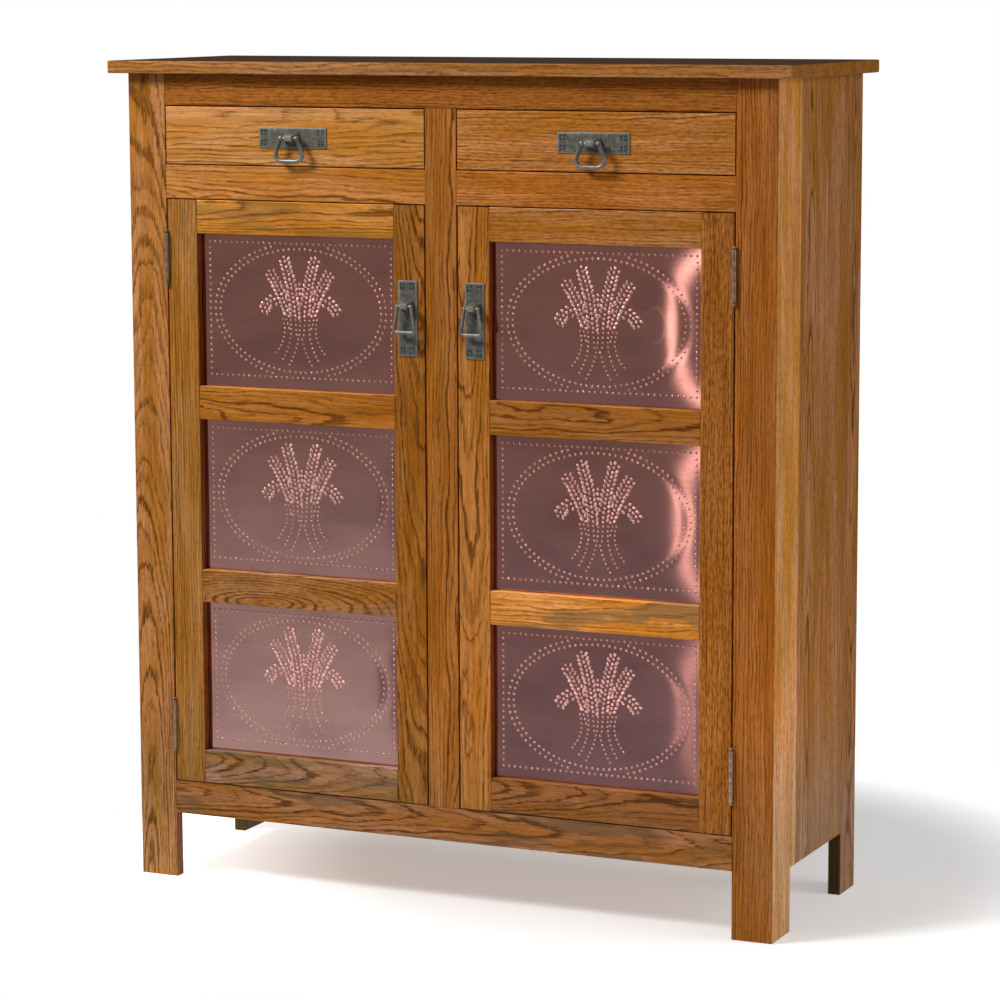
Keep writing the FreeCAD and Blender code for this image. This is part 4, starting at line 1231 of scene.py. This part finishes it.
class PIESAFE_OT_pull_plates(bpy.types.Operator):
    """Makes the back plates of the pulls with their dimples and hooded bosses"""

    bl_idname = "pie_safe.pull_plates"
    bl_label = "Pull plates"
    bl_options = {"REGISTER", "UNDO"}

    def execute(self, context):
        for kind, name in itertools.product(PULLS, SIDES):
            self.plate(PULLS[kind], f"{name}_{kind}", f"{name}_{kind}_pull_plate")
        return {"FINISHED"}

    def plate(self, pull, body, node):
        """One back plate with its boss, bored for the ends of the bail."""
        low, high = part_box(node)
        middle = (low + high) / 2
        front = high.y - PLATE_THICKNESS
        piece = block(f"{node}_casting", (low.x, front, low.z), high)
        ease_edges(piece, lambda edge: at(edge, 1, front), settings("iron").plate_bevel)
        combine(piece, "DIFFERENCE", self.dimples(middle, front, high.z - low.z > high.x - low.x))
        centre = Vector((middle.x, 0, middle.z + pull.boss_rise))
        combine(piece, "UNION", self.boss(pull, centre, low.y, front))
        combine(piece, "DIFFERENCE", rod("bore", PIN / 2 + PIN_PLAY, pull.boss[0],
                                         (centre.x, low.y + PIVOT_BEHIND, centre.z)))
        smooth(piece, 25)
        dress(piece, body, "pull_iron", "cast_pewter", node)

    def dimples(self, middle, front, upright):
        """The cutters of the dimples, four near each corner of a plate."""
        iron = settings("iron")
        half_x, half_z = iron.dimple_long / 2, iron.dimple_wide / 2
        if upright:
            half_x, half_z = half_z, half_x
        cutters = []
        for far, near, out, up in itertools.product(DIMPLE_ENDS, DIMPLE_ROWS, (-1, 1), (-1, 1)):
            shift = far + out * DIMPLE_STEP[0], near + up * DIMPLE_STEP[1]
            x, z = reversed(shift) if upright else shift
            x, z = middle.x + x, middle.z + z
            cutter = block("dimple", (x - half_x, front - DIMPLE_ABOVE, z - half_z),
                           (x + half_x, front + iron.dimple_depth, z + half_z))
            narrow(cutter, lambda face: face.normal.y > SQUARE_ON, DIMPLE_FLOOR, DIMPLE_FLOOR, (x, front, z))
            cutters.append(cutter)
        return join("dimples", cutters)

    def boss(self, pull, centre, nose, front):
        """The hooded boss, narrower towards its nose."""
        half_x, half_z = pull.boss[0] / 2, pull.boss[1] / 2
        boss = block("boss", (centre.x - half_x, nose, centre.z - half_z),
                     (centre.x + half_x, front + BOSS_SINK, centre.z + half_z))
        narrow(boss, lambda face: face.normal.y < -SQUARE_ON, pull.nose[0] / pull.boss[0],
               pull.nose[1] / pull.boss[1], (centre.x, nose, centre.z))
        ease_edges(boss, lambda edge: not at(edge, 1, front + BOSS_SINK), BOSS_EASE)
        return boss


class PIESAFE_OT_bails(bpy.types.Operator):
    """Makes the bent bails that hang from the bosses"""

    bl_idname = "pie_safe.bails"
    bl_label = "Bails"
    bl_options = {"REGISTER", "UNDO"}

    def execute(self, context):
        for (kind, pull), name in itertools.product(PULLS.items(), SIDES):
            plate_low, plate_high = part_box(f"{name}_{kind}_pull_plate")
            middle = (plate_low + plate_high) / 2
            pivot = Vector((middle.x, plate_low.y + PIVOT_BEHIND, middle.z + pull.boss_rise))
            self.bail(f"{name}_{kind}_bail", pull, pivot)
        return {"FINISHED"}

    def bail(self, body, pull, pivot):
        """One bail: a bent bar with rounded ends and a pin at each of them."""
        shoulders = [Vector((side * pull.top / 2, 0, 0)) for side in SIDES.values()]
        bends = [Vector((side * pull.bottom / 2, 0, -pull.drop)) for side in SIDES.values()]
        line = bpy.data.meshes.new("line")
        corners = [pivot + place for place in (shoulders[0], *bends, shoulders[1])]
        line.from_pydata(corners, [(0, 1), (1, 2), (2, 3)], [])
        bar = placed("bar", line)
        slope = (bends[1] - shoulders[1]).normalized()
        half_angle = (Vector((-1, 0, 0)).angle(-slope)) / 2
        pick(bar, "VERT", lambda vertex: vertex.co.z < pivot.z - pull.drop / 2)
        bpy.ops.mesh.bevel(offset=pull.corner / math.tan(half_angle), segments=8, affect="VERTICES")
        done()
        choose(bar)
        bpy.ops.object.convert(target="CURVE")
        bar = bpy.context.object
        bar.data.dimensions = "3D"
        bar.data.bevel_depth = pull.bar / 2
        bar.data.bevel_resolution = 5
        bar.data.use_fill_caps = True
        for point in bar.data.splines[0].points:
            fall = (pivot.z - point.co.z) / pull.drop
            point.radius = 1 - BAIL_TAPER + BAIL_TAPER * min(1.0, fall * 1.15) ** 1.5
        bpy.ops.object.convert(target="MESH")
        piece = newest(f"{body}_bar")
        reach = (pull.top - PIN_GAP) / 2
        for side, shoulder in zip(SIDES.values(), shoulders):
            combine(piece, "UNION", self.knob(pivot + shoulder, pull.bar / 2 + settings("iron").knob))
            place = pivot + Vector((side * (PIN_GAP / 2 + reach / 2), 0, 0))
            combine(piece, "UNION", rod("pin", PIN / 2, reach, place))
        smooth(piece, 35)
        dress(piece, body, "pull_iron", "rubbed_pewter", body)

    def knob(self, place, radius):
        """The rounded end of a bail."""
        bpy.ops.mesh.primitive_uv_sphere_add(segments=ROUND, ring_count=12, radius=radius, location=place,
                                             rotation=(0, math.pi / 2, 0))
        return newest("knob")


class PIESAFE_OT_hinges(bpy.types.Operator):
    """Makes the hinges, with the rims of their knuckles and leaves rounded"""

    bl_idname = "pie_safe.hinges"
    bl_label = "Hinges"
    bl_options = {"REGISTER", "UNDO"}

    def execute(self, context):
        self.rounded("frame_hinge_leaves", "carcass")
        self.rounded("hinge_pins", "carcass")
        for name in SIDES:
            self.rounded(f"{name}_door_hinge_leaves", f"{name}_door")
        return {"FINISHED"}

    def rounded(self, node, body):
        """A copy of a solid with its sharp edges rounded."""
        piece = placed(f"{node}_steel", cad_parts[node].data.copy())
        pick(piece, "VERT")
        bpy.ops.mesh.remove_doubles(threshold=HINGE_WELD)
        bpy.ops.mesh.dissolve_limited(angle_limit=math.radians(HINGE_FLAT))
        done()
        alter(piece, "BEVEL", width=HINGE_EASE, segments=2, limit_method="ANGLE",
              angle_limit=math.radians(HINGE_SHARP))
        smooth(piece, 35)
        dress(piece, body, "hinge_steel", "bronzed_steel", node)


class PIESAFE_OT_stage(bpy.types.Operator):
    """Sets the floor, the lights and the camera"""

    bl_idname = "pie_safe.stage"
    bl_label = "Stage"
    bl_options = {"REGISTER", "UNDO"}

    def execute(self, context):
        self.floor()
        self.room()
        for name, lamp in LAMPS.items():
            self.light(name, getattr(settings("stage"), name), lamp)
        self.camera()
        bpy.context.scene.view_settings.view_transform = "Standard"
        return {"FINISHED"}

    def floor(self):
        """A pale round floor that fades into the backdrop."""
        stage = settings("stage")
        bpy.ops.mesh.primitive_circle_add(vertices=160, radius=stage.floor_radius, fill_type="NGON",
                                          location=(*FLOOR_MIDDLE, -FLOOR_DROP))
        floor = newest("floor")
        paint = Paint("pale_floor")
        place = paint.place()
        clouds = paint.noise(place, (3.0, 3.0, 3.0), 2.0)
        across, deep = (part - middle for part, middle in zip(paint.parts(place), FLOOR_MIDDLE))
        rim = ((across * across + deep * deep) ** 0.5).between(*FLOOR_FADE)
        shaded = [0.985 * part for part in stage.floor]
        paint.finish(Base_Color=paint.mix(clouds, stage.floor, shaded), Roughness=0.6,
                     Emission_Color=paint.mix(rim, *FLOOR_GLOW), Emission_Strength=1.0)
        floor.data.materials.append(paint.owner)

    def room(self):
        """A white backdrop for the camera, and dimmer walls in what the metal mirrors."""
        world = bpy.data.worlds.new("room")
        bpy.context.scene.world = world
        paint = Paint(world)
        deep, up = paint.parts(paint.node("ShaderNodeTexCoord").outputs["Generated"])[1:]
        level = paint.mix(up.between(-0.24, -0.08), LOW_WALL, LEVEL_WALL)
        walls = paint.node("ShaderNodeBackground", sockets={
            "Color": paint.mix(up.between(-0.08, 0.9), level, HIGH_WALL),
            "Strength": settings("stage").room * (1 - 0.88 * deep.between(0.2, 0.75))})
        white = paint.node("ShaderNodeBackground", sockets={"Color": (1, 1, 1), "Strength": 1.0})
        seen = paint.node("ShaderNodeLightPath").outputs["Is Camera Ray"]
        both = paint.node("ShaderNodeMixShader", sockets={0: seen, 1: walls.outputs[0], 2: white.outputs[0]})
        paint.feed(paint.tree.nodes["World Output"].inputs["Surface"], both.outputs[0])

    def light(self, name, energy, lamp):
        """A rectangular light that may fade from its head to its foot and to its sides."""
        light = bpy.data.lights.new(name, "AREA")
        light.shape = "RECTANGLE"
        light.size, light.size_y = lamp.size
        light.energy = energy
        light.color = lamp.tint
        holder = placed(name, light)
        holder.location = lamp.place
        holder.rotation_euler = (Vector(lamp.target) - Vector(lamp.place)).to_track_quat("-Z", "Y").to_euler()
        holder.visible_camera = False
        paint = Paint(light)
        across, up = paint.parts(paint.node("ShaderNodeNewGeometry").outputs["Parametric"])[:2]
        fade = lamp.foot + (lamp.head - lamp.foot) * up.between(0.0, 1.0)
        if not lamp.sides:
            fade = fade * across.between(0.0, 0.5) * (1 - across.between(0.5, 1.0))
        paint.feed(paint.tree.nodes["Emission"].inputs["Strength"], fade)

    def camera(self):
        """The photograph's own view."""
        turn, dip, roll = (math.radians(angle) for angle in (CAMERA_TURN, CAMERA_DIP, CAMERA_ROLL))
        ahead = Vector((-math.sin(turn) * math.cos(dip), math.cos(turn) * math.cos(dip), -math.sin(dip)))
        level = Vector((math.cos(turn), math.sin(turn), 0))
        up = level.cross(ahead)
        right = math.cos(roll) * level + math.sin(roll) * up
        above = -math.sin(roll) * level + math.cos(roll) * up
        lens = bpy.data.cameras.new("camera")
        lens.sensor_fit = "HORIZONTAL"
        lens.sensor_width = CAMERA_SENSOR
        lens.lens = CAMERA_LENS
        lens.clip_start, lens.clip_end = 0.1, 100.0
        holder = placed("camera", lens)
        turned = Matrix((right, above, -ahead)).transposed().to_4x4()
        holder.matrix_world = Matrix.Translation(CAMERA_PLACE) @ turned
        bpy.context.scene.camera = holder


STEPS = (
    PIESAFE_OT_face_frame, PIESAFE_OT_sides, PIESAFE_OT_top, PIESAFE_OT_inside, PIESAFE_OT_door_frames,
    PIESAFE_OT_drawer_fronts, PIESAFE_OT_copper_panels, PIESAFE_OT_pull_plates, PIESAFE_OT_bails,
    PIESAFE_OT_hinges, PIESAFE_OT_stage,
)
GROUPS = {
    "oak": PIESAFE_PG_oak, "copper": PIESAFE_PG_copper, "iron": PIESAFE_PG_iron, "stage": PIESAFE_PG_stage,
}


class PIESAFE_PT_panel(bpy.types.Panel):
    """Lists the steps of the cupboard and the values that they use"""

    bl_idname = "PIESAFE_PT_panel"
    bl_label = "Pie safe"
    bl_space_type = "VIEW_3D"
    bl_region_type = "UI"
    bl_category = "Pie safe"

    def draw(self, context):
        for step in STEPS:
            self.layout.operator(step.bl_idname)
        for name, group in GROUPS.items():
            box = self.layout.box()
            box.label(text=name.capitalize())
            for key in group.__annotations__:
                box.prop(settings(name), key)


def register():
    """Adds the classes and the scene's values."""
    for kind in (*GROUPS.values(), *STEPS, PIESAFE_PT_panel):
        bpy.utils.register_class(kind)
    for name, group in GROUPS.items():
        setattr(bpy.types.Scene, f"pie_safe_{name}", PointerProperty(type=group))


def unregister():
    """Takes the scene's values and the classes out again."""
    for name in GROUPS:
        delattr(bpy.types.Scene, f"pie_safe_{name}")
    for kind in (PIESAFE_PT_panel, *reversed(STEPS), *reversed(GROUPS.values())):
        bpy.utils.unregister_class(kind)


def main():
    """Makes every piece and the stage, in order."""
    register()
    for step in STEPS:
        group, name = step.bl_idname.split(".")
        getattr(getattr(bpy.ops, group), name)()
    bpy.context.view_layer.update()


if __name__ == "__main__":
    main()
